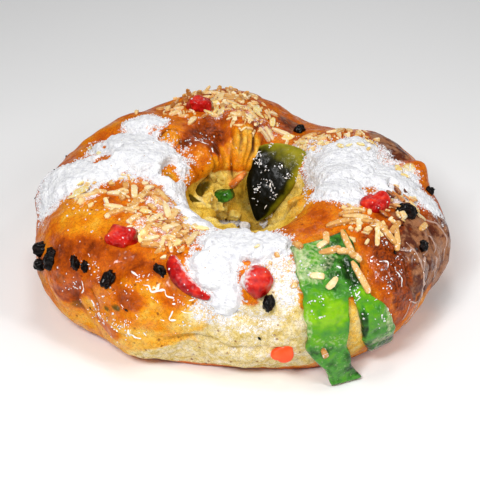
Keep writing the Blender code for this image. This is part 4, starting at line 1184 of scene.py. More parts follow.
    def mark_all(self, loaf: bpy.types.Object, angle: Numbers, turn: Numbers, base: np.ndarray,
                 torn: np.ndarray, warp: Numbers) -> None:
        """Stores how each point of the loaf is baked, glazed and dusted, and where shade, sheen and glints are
        painted.
        """
        form = self.form
        names = ("golden", "clean", "dust", "mauve", "red", "olive", "beads", "chopped", "sliced",
                 "dark_bits")
        spots = {name: paint(0.0, getattr(self, name), angle, turn, warp) for name in names}
        wall = form.past_lip(angle, turn, 9.0) * (1 - spots["golden"])
        radius = np.hypot(base[..., 0], base[..., 1])
        low = smooth(10, -45, turn)
        bake = paint(0.54 - 0.10 * low, self.bake, angle, turn, warp)
        bake = bake + 0.07 * billow(base * (1.0, 1.0, 0.3), 0.006, 45, 2)
        rim = smooth(0.0060, 0.0010, base[..., 2])
        bake = bake + (0.66 - bake) * rim * 0.8
        creased = form.folds(form.creases, angle, turn, radius) / self.deepest_crease
        cracked = form.folds(form.small_creases, angle, turn, radius) / self.deepest_crack
        ragged = heap_edge(form, base)
        depth = np.max([heap_depth(form, name, angle, turn, base, ragged)[1] for name in SUGAR], axis=0)
        near_sugar = smooth(-0.42, 0.05, depth) * 0.62
        dusted = 1 - spots["clean"]
        dust = np.maximum(spots["dust"], near_sugar) * (1 - 0.7 * wall) * dusted
        gloss = paint(0.62, self.gloss, angle, turn, warp) * (1 - 0.75 * wall)
        values = {
            "bake": bake,
            "wall": wall,
            "paleness": 0.5 + 0.25 * billow(base, 0.012, 41),
            "crumb": torn * (1 - rim * 0.8),
            "mauve": spots["mauve"],
            "red": spots["red"],
            "gloss": gloss,
            "dust": dust,
            "olive": spots["olive"],
            # Painted shade in the hole's pleats and in the small cracks.
            "crevice": np.clip(0.55 * creased * wall + cracked * 0.9, 0, 1),
            # Glaze drops and white grains standing in for glints, in clusters: painted highlights.
            "beads": spots["beads"] * smooth(-0.1, 0.5, billow(base, 0.0055, 47, 2)),
            "chopped": spots["chopped"] * (1 - wall),
            "sliced": spots["sliced"] * (1 - wall),
            "dark_bits": spots["dark_bits"],
            "crumbs": smooth(-0.50, -0.02, depth) * smooth(0.25, 0.02, depth) * dusted + 0.35 * (dust > 0.45),
        }
        beneath = {"bake": 0.66, "gloss": 0.25, "paleness": 0.5}
        for name, value in values.items():
            filler = np.full((self.ring_steps, self.base_steps), beneath.get(name, 0.0))
            mark(loaf, name, np.concatenate([value, filler], 1))


# Icing sugar

# Heaps, each a few overlapping drifts: angle, turn, reach along, reach round, depth.
SUGAR = {
    "sugar_left": (
        (177, 102, 0.021, 0.020, 0.0055), (186, 62, 0.017, 0.028, 0.0040), (165, 88, 0.014, 0.018, 0.0045),
        (208, 121, 0.015, 0.009, 0.0040), (233, 115, 0.011, 0.007, 0.0035),
        (247, 106, 0.009, 0.008, 0.0035),
    ),
    "sugar_front": (
        (268, 80, 0.020, 0.018, 0.0050), (262, 55, 0.013, 0.018, 0.0045), (266, 34, 0.008, 0.013, 0.0030),
        (281, 84, 0.012, 0.013, 0.0040),
    ),
    "sugar_right": (
        (357, 103, 0.028, 0.018, 0.0060), (331, 101, 0.014, 0.012, 0.0040), (352, 76, 0.018, 0.020, 0.0036),
        (14, 95, 0.014, 0.014, 0.0040), (349, 48, 0.009, 0.014, 0.0020),
    ),
    "sugar_back": (
        (144, 88, 0.010, 0.007, 0.0026), (147, 82, 0.007, 0.006, 0.0022),
    ),
}
# How deep a heap's edge lies in the crust, and the shares of its reach where it rises and where it sinks.
SUGAR_SINK, SUGAR_SHOULDER, SUGAR_SKIRT = 0.0012, 0.46, 0.12

# Bare spots in the heaps: angle, turn, reach along, reach round.
SUGAR_GAPS = {
    "sugar_left": ((190, 116, 0.0080, 0.0060), (180, 76, 0.0070, 0.0052), (174, 66, 0.0050, 0.0030),
                   (166, 74, 0.0030, 0.0020), (196, 66, 0.0050, 0.0034)),
    "sugar_front": ((283, 66, 0.0040, 0.0050), (272, 62, 0.0030, 0.0018)),
    "sugar_right": ((346, 74, 0.0040, 0.0030), (340, 84, 0.0030, 0.0022)),
    "sugar_back": ((146, 92, 0.0030, 0.0024),),
}


def heap_edge(form: RingForm, base: np.ndarray) -> np.ndarray:
    """Raggedness of the heaps' edges, as a share of their drifts' reach."""
    ragged = 0.22 * form.dough_noise(base, 0.010, 5) + 0.14 * form.dough_noise(base, 0.005, 6)
    return ragged + 0.17 * billow(base, 0.0034, 51, 3)


def heap_depth(form: RingForm, name: str, angle: Numbers, turn: Numbers, base: np.ndarray,
               ragged: np.ndarray) -> tuple:
    """Depth of a sugar heap over the crust.

    Args:
        form: The loaf's form.
        name: The heap's name.
        angle: Angles of the points.
        turn: Turns of the points.
        base: Points of the smooth ring.
        ragged: Raggedness of the edges at the points.

    Returns:
        The depth in metres, negative outside the heap, and how far inside its edge a point is.
    """
    radius = np.hypot(base[..., 0], base[..., 1])
    bare = np.zeros(angle.shape)
    for at_angle, at_turn, reach_along, reach_round in SUGAR_GAPS[name]:
        along, up = form.offsets(angle, turn, at_angle, at_turn, radius)
        bare = np.maximum(bare, smooth(1.25, 0.75, np.hypot(along / reach_along, up / reach_round) + ragged))
    best = np.full(angle.shape, -SUGAR_SINK)
    reach = np.full(angle.shape, -9.0)
    for at_angle, at_turn, reach_along, reach_round, depth in SUGAR[name]:
        along, up = form.offsets(angle, turn, at_angle, at_turn, radius)
        within = 1.0 - np.hypot(along / reach_along, up / reach_round) + ragged
        within = within - bare * (within + 0.40)
        mound = depth * np.sin(np.clip(within / SUGAR_SHOULDER, 0, 1) * math.pi / 2) ** 1.1
        skirt = SUGAR_SINK * np.clip(within / SUGAR_SKIRT, -1, 0)
        best = np.maximum(best, np.where(within > 0, mound, skirt))
        reach = np.maximum(reach, within)
    return best, reach


@dataclass
class SugarHeap:
    """One heap of icing sugar, clotted and ragged at its edge."""

    form: RingForm
    name: str
    neighbours: tuple[str, ...] = ()
    spacing: float = 0.0008
    clear: float = 0.0030
    margin: float = 1.45

    def span(self) -> tuple[np.ndarray, np.ndarray]:
        """Grid of angles and turns that covers the heap."""
        angles, turns = [], []
        centre = SUGAR[self.name][0][0]
        for at_angle, at_turn, reach_along, reach_round, _depth in SUGAR[self.name]:
            middle = centre + (at_angle - centre + 180.0) % 360.0 - 180.0
            ring = float(np.hypot(*self.form.smooth_section(at_angle, at_turn)[:2]))
            spread = math.degrees(reach_along * self.margin / ring)
            rise = math.degrees(reach_round * self.margin / self.form.section_reach)
            angles += [middle - spread, middle + spread]
            turns += [at_turn - rise, at_turn + rise]
        ring = float(np.hypot(*self.form.smooth_section(centre, SUGAR[self.name][0][1])[:2]))
        columns = int(math.radians(max(angles) - min(angles)) * ring / self.spacing)
        rows = int(math.radians(max(turns) - min(turns)) * self.form.section_reach / self.spacing)
        turn, angle = np.meshgrid(np.linspace(min(turns), max(turns), rows),
                                  np.linspace(min(angles), max(angles), columns), indexing="ij")
        return angle, turn

    def build(self, finish: bpy.types.Material) -> bpy.types.Object:
        """Builds the heap as a closed mesh bedded in the crust.

        Args:
            finish: The sugar's material.

        Returns:
            The finished piece.
        """
        angle, turn = self.span()
        base = self.form.smooth_section(angle, turn)
        depth, reach = heap_depth(self.form, self.name, angle, turn, base, heap_edge(self.form, base))
        body = smooth(0.0, 0.30, reach)
        pitted = smooth(0.35, 0.75, grain(base, 0.0019, 65))
        clots = 0.00050 * billow(base, 0.0090, 61, 2) + 0.00026 * billow(base, 0.0022, 63, 2)
        depth = depth + body * (clots - 0.0005 * pitted)
        top = self.form.crust(angle, turn, depth)
        if self.neighbours:
            away = self.distance(top)
            drop = smooth(self.clear, 0.0002, away)
            depth = depth * (1 - drop) - SUGAR_SINK * drop
            top = self.form.crust(angle, turn, depth)
        bed = self.form.crust(angle, turn, -2 * SUGAR_SINK)
        quads = grid_faces(*angle.shape).reshape(-1, 4)
        shown = (depth.ravel()[quads] > -SUGAR_SINK * 0.6).any(1)
        return self.closed(top, bed, quads[shown], finish)

    def distance(self, points: np.ndarray) -> np.ndarray:
        """Distance from each point to the nearest neighbour."""
        trees = [node_tree(name) for name in self.neighbours]
        flat = [Vector(p) for p in points.reshape(-1, 3)]
        nearest = [min(tree.find_nearest(spot)[3] for tree in trees) for spot in flat]
        return np.array(nearest).reshape(points.shape[:-1])

    def closed(self, top: np.ndarray, bed: np.ndarray, quads: np.ndarray,
               finish: bpy.types.Material) -> bpy.types.Object:
        """Joins the top and the bed along the open edges."""
        used = np.unique(quads)
        count = len(used)
        renumber = np.full(top.shape[0] * top.shape[1], -1)
        renumber[used] = np.arange(count)
        kept = renumber[quads]
        faces = kept.tolist() + (kept[:, ::-1] + count).tolist()
        faces += [(beside, here, here + count, beside + count) for here, beside in open_edges(kept.tolist())]
        points = np.concatenate([top.reshape(-1, 3)[used], bed.reshape(-1, 3)[used]])
        return mesh_object(f"{self.name}_heap", points, faces, finish)


def node_tree(name: str) -> BVHTree:
    """Search tree over a CAD node's faces."""
    mesh = frame["nodes"][name].data
    return BVHTree.FromPolygons([v.co for v in mesh.vertices], [p.vertices for p in mesh.polygons])


def inside(tree: BVHTree, spot: Vector) -> bool:
    """True where a point lies inside a closed piece, by counting the faces straight above it."""
    up, crossings = Vector((0, 0, 1)), 0
    hit = tree.ray_cast(spot, up)[0]
    while hit is not None:
        crossings += 1
        hit = tree.ray_cast(hit + up * 0.00001, up)[0]
    return crossings % 2 == 1


# Fruit


@dataclass
class Morsel:
    """A rounded bit of fruit, nut, crumb or sugar that lies on the crust."""

    angle: float
    turn: float
    length: float
    width: float
    height: float
    yaw: float = 0.0
    sink: float = 0.0
    square: float = 1.0
    swells: tuple = ((0.55, 0.12),)
    wrinkle: float = 0.0
    seed: int = 0
    powder: tuple = (0.0, 0.0, 0.0)
    ripeness: float = 0.45
    outline: tuple = ()
    rows: int = 28
    columns: int = 40

    def place(self, form: RingForm) -> Matrix:
        """Matrix that carries the morsel to its place."""
        return form.seat(self.angle, self.turn, self.yaw) @ Matrix.Translation((0, 0, -self.sink))

    def points(self, form: RingForm) -> tuple[np.ndarray, np.ndarray, list]:
        """Shapes the morsel.

        Args:
            form: The loaf's form.

        Returns:
            Its points in place, the points of its unit ball and its faces.
        """
        ball, faces = sphere_grid(self.rows, self.columns)
        boxy = np.sign(ball) * np.abs(ball) ** self.square
        half = np.array((self.length / 2, self.width / 2, self.height))
        rough = np.ones(len(ball))
        for size, strength in self.swells:
            rough += strength * grain(ball, size, self.seed + int(size * 100))
        if self.wrinkle:
            ridge = 1 - 2 * np.abs(grain(ball * (1.0, 1.0, 0.7), 0.42, self.seed + 3))
            rough += self.wrinkle * ridge + 0.4 * self.wrinkle * grain(ball, 0.2, self.seed + 5)
        if self.outline:
            spin = np.arctan2(ball[:, 1], ball[:, 0])
            share = np.interp(spin, np.linspace(-math.pi, math.pi, len(self.outline)), self.outline)
            boxy = boxy * np.stack([share, share, np.ones(len(ball))], 1)
        local = boxy * half * rough[:, None]
        matrix = np.array(self.place(form))
        return local @ matrix[:3, :3].T + matrix[:3, 3], ball, faces

    def marks(self, ball: np.ndarray) -> dict[str, np.ndarray]:
        """The finish's attributes at the points of the unit ball."""
        return {
            # Tone rises towards the top of each morsel, so it is lighter on top and darker at its base:
            # painted light and shade.
            "tone": self.ripeness + 0.20 * ball[:, 2] + 0.2 * grain(ball, 0.7, self.seed + 9),
            "frost": smooth(0.1, 0.9, ball @ np.array(self.powder)),
            "shade": 0.35 + 0.3 * grain(ball, 0.6, self.seed + 11),
            "edge": np.abs(grain(ball, 0.4, self.seed + 13)),
            # White grains standing in for glints go on the top: painted highlights.
            "beads": 0.06 * smooth(0.1, 0.7, ball[:, 2]),
        }


def build_morsels(form: RingForm, name: str, morsels: list[Morsel],
                  finish: bpy.types.Material) -> bpy.types.Object:
    """Builds one or more morsels of a kind as one piece.

    Args:
        form: The loaf's form.
        name: The piece's name.
        morsels: The morsels.
        finish: Their material.

    Returns:
        The finished piece.
    """
    points, faces, marks, first = [], [], [], 0
    for morsel in morsels:
        placed, ball, sides = morsel.points(form)
        points.append(placed)
        marks.append(morsel.marks(ball))
        faces += [tuple(first + i for i in side) for side in sides]
        first += len(placed)
    made = mesh_object(name, np.concatenate(points), faces, finish)
    for key in marks[0]:
        mark(made, key, np.concatenate([values[key] for values in marks]))
    return made


@dataclass
class CherryStrip:
    """The long curved strip of candied cherry beside the front sugar."""

    form: RingForm
    route: tuple = ((248.0, 62), (249.5, 54), (252.0, 46), (256.0, 38), (261.5, 31))
    width: float = 0.0100
    height: float = 0.0050
    bed: float = 0.0025
    stations: int = 60
    spokes: int = 28

    def build(self, finish: bpy.types.Material) -> bpy.types.Object:
        """Builds the strip.

        Args:
            finish: The cherry's material.

        Returns:
            The finished piece.
        """
        table = np.array(self.route, float)
        places = np.linspace(0, len(table) - 1, self.stations)
        angles = np.interp(places, range(len(table)), table[:, 0])
        turns = np.interp(places, range(len(table)), table[:, 1])
        soft = np.hanning(13) / np.hanning(13).sum()
        angles[6:-6] = np.convolve(angles, soft, "valid")
        turns[6:-6] = np.convolve(turns, soft, "valid")
        middle = self.form.crust(angles, turns)
        up, side = self.form.across(middle, angles, turns)
        spin = np.arange(self.spokes) * math.tau / self.spokes
        full = np.sin(math.pi * np.linspace(0.03, 0.97, self.stations)) ** 0.5
        wide = np.sign(np.cos(spin)) * np.abs(np.cos(spin)) ** 0.8 * self.width / 2
        tall = np.sin(spin) * np.where(np.sin(spin) > 0, self.height, self.bed)
        shape = middle[:, None] + full[:, None, None] * (
            side[:, None] * wide[None, :, None] + up[:, None] * tall[None, :, None])
        rough = 0.0005 * billow(shape, 0.004, 71)
        shape = shape + up[:, None] * rough[..., None]
        faces = tube_faces(self.stations, self.spokes)
        made = mesh_object("candied_cherry_strip", shape.reshape(-1, 3), faces, finish)
        across = np.broadcast_to(np.cos(spin)[None, :], shape.shape[:2])
        mark(made, "tone", 0.52 + 0.26 * across + 0.1 * grain(shape, 0.003, 73))
        mark(made, "frost", smooth(0.2, 1.0, across) * 0.55)
        above = np.broadcast_to(np.sin(spin)[None, :], shape.shape[:2])
        # White grains standing in for glints on its upper side: painted highlights.
        mark(made, "beads", smooth(-0.2, 0.6, above) * 0.12)
        return made


@dataclass
class Citron:
    """The slab of candied citron over the front right, split into two legs below its middle."""

    form: RingForm
    rows: tuple = (
        (80, 288.2, 298.0, 299.6, 308.2), (70, 287.2, 298.4, 299.8, 307.8),
        (58, 286.8, 298.6, 300.0, 305.4), (42, 286.6, 298.8, 300.0, 303.6),
        (28, 286.8, 298.6, 300.2, 304.4), (14, 287.0, 298.0, 300.8, 308.4), (2, 287.2, 297.6, 301.2, 309.8),
        (-8, 287.4, 297.4, 301.6, 310.8),
    )
    slit_turn: float = 30.0
    thickness: float = 0.0034
    bed: float = 0.0008
    leg_columns: tuple = (34, 26)
    crust_rows: int = 96
    tail_rows: int = 34
    tips: tuple = ((0.0600, -0.1155, 0.0015), (0.0790, -0.0985, 0.0130))
    tip_widths: tuple = (0.0175, 0.0165)
    tail_turn: float = 40.0
    tail_bow: float = 0.0015
    tail_curl: float = 0.0022
    edge_columns: float = 4.0
    top_edge: float = 3.0
    # Dark strokes along the slit, along the fold above it and at the right leg's hanging end are painted
    # shade; the other strokes set the citron's greens.
    tone: tuple = (
        (294, 72, 9.0, 18, 0.44), (290, 60, 4.0, 20, 0.50), (304, 64, 4.5, 24, 0.20),
        (297, 56, 3.0, 10, 0.26), (301, 46, 2.2, 16, 0.06), (292, 40, 5.0, 5, 0.46),
        (297, 41, 4.0, 4, 0.34), (292, 22, 6.0, 14, 0.94), (290, 28, 2.5, 8, 0.70),
        (303, 26, 4.5, 12, 0.68), (305, 8, 5.0, 14, 0.56), (307, -6, 5.0, 9, 0.36), (291, 4, 6.0, 8, 0.58),
        (291, -10, 8.0, 8, 0.40), (291, -32, 12.0, 22, 0.44), (306, -32, 12.0, 20, 0.16),
        (301.5, 8, 0.8, 14, 0.08), (288, 84, 2.0, 10, 0.28),
    )
    frost: tuple = (
        (294, 70, 8.0, 18, 0.30), (288.6, 62, 3.0, 18, 0.46), (291.0, 52, 3.2, 8, 0.40),
        (308.4, 8, 1.4, 14, 0.40), (307, -14, 4.0, 8, 0.34), (287.5, 14, 1.2, 12, 0.36),
        (292, -2, 6.0, 8, 0.20), (293, -26, 7.0, 20, 0.12),
    )
    # Where white grains and dashes stand in for glints: painted highlights.
    beads: tuple = (
        (292, 34, 5.0, 5, 1.0), (290, 26, 3.0, 8, 0.7), (300, 36, 3.0, 8, 0.8), (304, 20, 4.0, 12, 1.0),
        (307, 8, 3.0, 10, 0.7), (300, 60, 5.0, 14, 0.5), (291, 60, 4.0, 14, 0.5), (296, 30, 3.0, 10, 0.5),
    )
    swellings: tuple = (
        (292.5, 22, 0.0075, 0.0120, 0.0020), (305.0, 18, 0.0060, 0.0110, 0.0014),
        (291.0, 60, 0.0060, 0.0120, 0.0006), (297.0, 80, 0.0080, 0.0060, 0.0008),
        (289.0, -4, 0.0050, 0.0060, 0.0012),
    )
    grooves: tuple = (
        (0.0016, 0.0016, ((300.4, 72), (300.8, 50), (300.2, 30), (300.4, 20))),
        (0.0012, 0.0014, ((287.5, 43), (292, 40), (297, 41), (300, 36))),
        (0.0010, 0.0014, ((301, 48), (304, 40), (307, 42))),
        (0.0009, 0.0016, ((302.5, -2), (306, 1), (309.5, -1))),
        (0.0008, 0.0014, ((287.5, 2), (291, -2), (297, 0))),
    )

    def edges(self, turns: np.ndarray) -> list[np.ndarray]:
        """The four edges of the slab at each turn, slightly wavy."""
        table = np.array(self.rows)[::-1]
        wave = 0.28 * np.sin(turns * 0.21) + 0.16 * np.sin(turns * 0.53 + 1.0)
        signs = (1.0, 0.25, -0.25, -1.0)
        return [np.interp(turns, table[:, 0], table[:, i + 1]) + wave * signs[i] for i in range(4)]

    def build(self, finish: bpy.types.Material) -> bpy.types.Object:
        """Builds the slab with its legs.

        Args:
            finish: The citron's material.

        Returns:
            The finished piece.
        """
        form = self.form
        turns = np.linspace(self.rows[0][0], self.rows[-1][0], self.crust_rows)
        edges = self.edges(turns)
        left = np.linspace(0, 1, self.leg_columns[0])[None, :]
        right = np.linspace(0, 1, self.leg_columns[1])[None, :]
        angle = np.concatenate([
            edges[0][:, None] * (1 - left) + edges[1][:, None] * left,
            edges[2][:, None] * (1 - right) + edges[3][:, None] * right], 1)
        turn = np.broadcast_to(turns[:, None], angle.shape)
        lift = self.lift(angle, turn)
        top, bottom = form.crust(angle, turn, lift), form.crust(angle, turn, -self.bed)
        split = self.leg_columns[0]
        legs = [self.tail(leg, top[-1, part], bottom[-1, part])
                for leg, part in enumerate((slice(None, split), slice(split, None)))]
        upper, lower = (np.concatenate(faces, 1) for faces in zip(*legs))
        shape = (self.tail_rows, angle.shape[1])
        fall = turns[-1] - np.linspace(0, self.tail_turn, self.tail_rows + 1)[1:, None]
        top, bottom = np.concatenate([top, upper]), np.concatenate([bottom, lower])
        angle = np.concatenate([angle, np.broadcast_to(angle[-1:], shape)])
        turn = np.concatenate([turn, np.broadcast_to(fall, shape)])
        return self.closed(top, bottom, angle, turn, finish)

    def lift(self, angle: np.ndarray, turn: np.ndarray) -> np.ndarray:
        """Height of the slab's upper face over the crust."""
        form = self.form
        base = form.smooth_section(angle, turn)
        radius = np.hypot(base[..., 0], base[..., 1])
        height = self.thickness + form.hills(self.swellings, angle, turn, radius)
        height -= form.folds(self.grooves, angle, turn, radius)
        height += 0.00045 * billow(base, 0.0060, 81, 3)
        column = np.arange(angle.shape[1])[None, :]
        slit = self.leg_columns[0]
        last = angle.shape[1] - 1
        open_slit = smooth(self.slit_turn + 10, self.slit_turn - 4, turn)
        to_side = np.minimum(column, last - column)
        to_slit = np.where(column < slit, slit - 1 - column, column - slit)
        round_side = rounded(to_side / self.edge_columns)
        round_slit = 1 - (1 - rounded(to_slit / self.edge_columns)) * open_slit
        from_top = rounded((self.rows[0][0] - turn) / self.top_edge)
        edge = np.minimum(np.minimum(round_side, round_slit), from_top)
        return height * (0.42 + 0.58 * edge)

    def tail(self, leg: int, start: np.ndarray, below: np.ndarray) -> tuple[np.ndarray, np.ndarray]:
        """The end of one leg, which hangs clear of the loaf.

        Args:
            leg: 0 for the left leg and 1 for the right one.
            start: Last row of its upper face on the crust.
            below: Last row of its lower face.

        Returns:
            Rows of its upper and lower face.
        """
        count = len(start)
        out = start.mean(0) * (1, 1, 0)
        out = out / np.linalg.norm(out)
        across = np.array((-out[1], out[0], 0))
        spread = np.linspace(-0.5, 0.5, count)[:, None]
        end = np.array(self.tips[leg]) + spread * across * self.tip_widths[leg]
        upper, lower = [], []
        for step in range(1, self.tail_rows + 1):
            share = step / self.tail_rows
            bow = out * self.tail_bow * math.sin(math.pi * share)
            row = start * (1 - share) + end * share + bow
            if leg == 0:
                flare = 0.10 * smooth(0.80, 1.0, np.array(share))
                pinch = 1 - 0.20 * math.exp(-((share - 0.60) / 0.22) ** 2) + flare
                middle = row.mean(0)
                row = middle + (row - middle) * pinch
                row = row + out * self.tail_curl * float(smooth(0.82, 1.0, np.array(share)))
            ripple = 0.0005 * billow(row, 0.0060, 87, 2)
            row = row + out * ripple[:, None]
            side = np.minimum(np.arange(count), count - 1 - np.arange(count))
            end_round = math.sqrt(max(1 - max(share - 0.94, 0) / 0.06, 0)) * 0.55 + 0.45
            thick = self.thickness * (0.35 + 0.65 * rounded(side / self.edge_columns)) * end_round
            if leg == 1:
                row = row + out * self.thickness * 0.5 * float(smooth(0.2, 0.8, np.array(share)))
            join = min(share * 3, 1)
            back = below * (1 - share) + (end - out * self.thickness) * share
            inner = back * (1 - join) + (row - out * self.thickness) * join
            face = row - out * (self.thickness - thick)[:, None] * 0.5
            upper.append(face)
            lower.append(inner + out * (self.thickness - thick)[:, None] * 0.5 * join)
        return np.array(upper), np.array(lower)

    def closed(self, top: np.ndarray, bottom: np.ndarray, angle: Numbers, turn: Numbers,
               finish: bpy.types.Material) -> bpy.types.Object:
        """Joins the two faces with walls, leaving the slit open."""
        quads = grid_faces(*angle.shape)
        keep = np.ones(quads.shape[:2], bool)
        slit = self.leg_columns[0] - 1
        keep[:, slit] = turn[1:, slit] > self.slit_turn
        quads = quads[keep]
        under = angle.size
        faces = quads[:, ::-1].tolist() + (quads + under).tolist()
        faces += [(here, beside, beside + under, here + under) for here, beside in open_edges(quads.tolist())]
        points = np.concatenate([top.reshape(-1, 3), bottom.reshape(-1, 3)])
        made = mesh_object("candied_citron", points, faces, finish)
        warp = 0.15 * billow(top, 0.005, 91, 3)
        tone = paint(0.48, self.tone, angle, turn, warp)
        frost = paint(0.0, self.frost, angle, turn, warp)
        # The lower face is darker: painted shade on the underside.
        mark(made, "tone", np.concatenate([tone, tone * 0.6]))
        mark(made, "frost", np.concatenate([frost, frost]))
        beads = paint(0.0, self.beads, angle, turn, warp) * smooth(-0.2, 0.5, billow(top, 0.004, 93, 2))
        mark(made, "beads", np.concatenate([beads, beads * 0]))
        return made


@dataclass
class HoleFruit:
    """The dark green candied fruit that leans in the hole, pointed at the top and round in the middle."""

    top: tuple = (0.0425, 0.0270, 0.0680)
    foot: tuple = (0.0105, 0.0105, 0.0270)
    width: float = 0.036
    bow: float = 0.0115
    thickness: float = 0.013
    facing: tuple = (-0.35, -0.78, 0.52)
    stations: int = 72
    spokes: int = 64

    def build(self, finish: bpy.types.Material) -> bpy.types.Object:
        """Builds the fruit.

        Args:
            finish: Its material.

        Returns:
            The finished piece.
        """
        top, foot = np.array(self.top), np.array(self.foot)
        axis = foot - top
        unit = axis / np.linalg.norm(axis)
        facing = np.array(self.facing)
        facing = facing - unit * facing.dot(unit)
        facing /= np.linalg.norm(facing)
        side = np.cross(unit, facing)
        share = np.arange(1, self.stations)[:, None] / self.stations
        spin = np.arange(self.spokes)[None, :] * math.tau / self.spokes
        half = self.width / 2 * np.sin(math.pi * share**0.78) ** 0.7
        swell = self.thickness / 2 * np.sin(math.pi * share**0.85) ** 0.6
        middle = top + axis * share + side * self.bow * np.sin(math.pi * share**0.75)
        rim = np.abs(np.cos(spin))
        dent = 1 - 0.22 * smooth(0.75, 0.2, rim) * (np.sin(spin) > 0)
        shape = (middle[:, None] + side * (half * np.cos(spin))[..., None]
                 + facing * (swell * np.sin(spin) * dent)[..., None])
        shape = shape + facing * (0.0006 * billow(shape, 0.007, 95, 3))[..., None]
        points = np.concatenate([top[None], shape.reshape(-1, 3), foot[None]])
        faces = sphere_grid(self.stations, self.spokes)[1]
        made = mesh_object("candied_fruit_in_hole", points, faces, finish)
        across = np.cos(spin)
        lit = smooth(0.50, 0.06, share) * 0.66 + smooth(-0.60, -0.95, across) * 0.50
        lit = lit + smooth(0.8, 1.0, across) * 0.25
        tone = np.clip(np.broadcast_to(lit, shape.shape[:2]) + 0.08 * billow(shape, 0.006, 97), 0, 1)
        mark(made, "tone", np.concatenate([[0.9], tone.ravel(), [0.3]]))
        mark(made, "frost", np.zeros(len(points)))
        # White grains and dashes standing in for glints across its middle: painted highlights.
        middling = smooth(0.06, 0.30, share) * smooth(0.92, 0.66, share) * smooth(-0.2, 0.5, np.sin(spin))
        beads = 2.4 * middling * smooth(0.0, 0.7, billow(shape, 0.005, 99, 2))
        mark(made, "beads", np.concatenate([[0.0], beads.ravel(), [0.0]]))
        return made


# Almonds


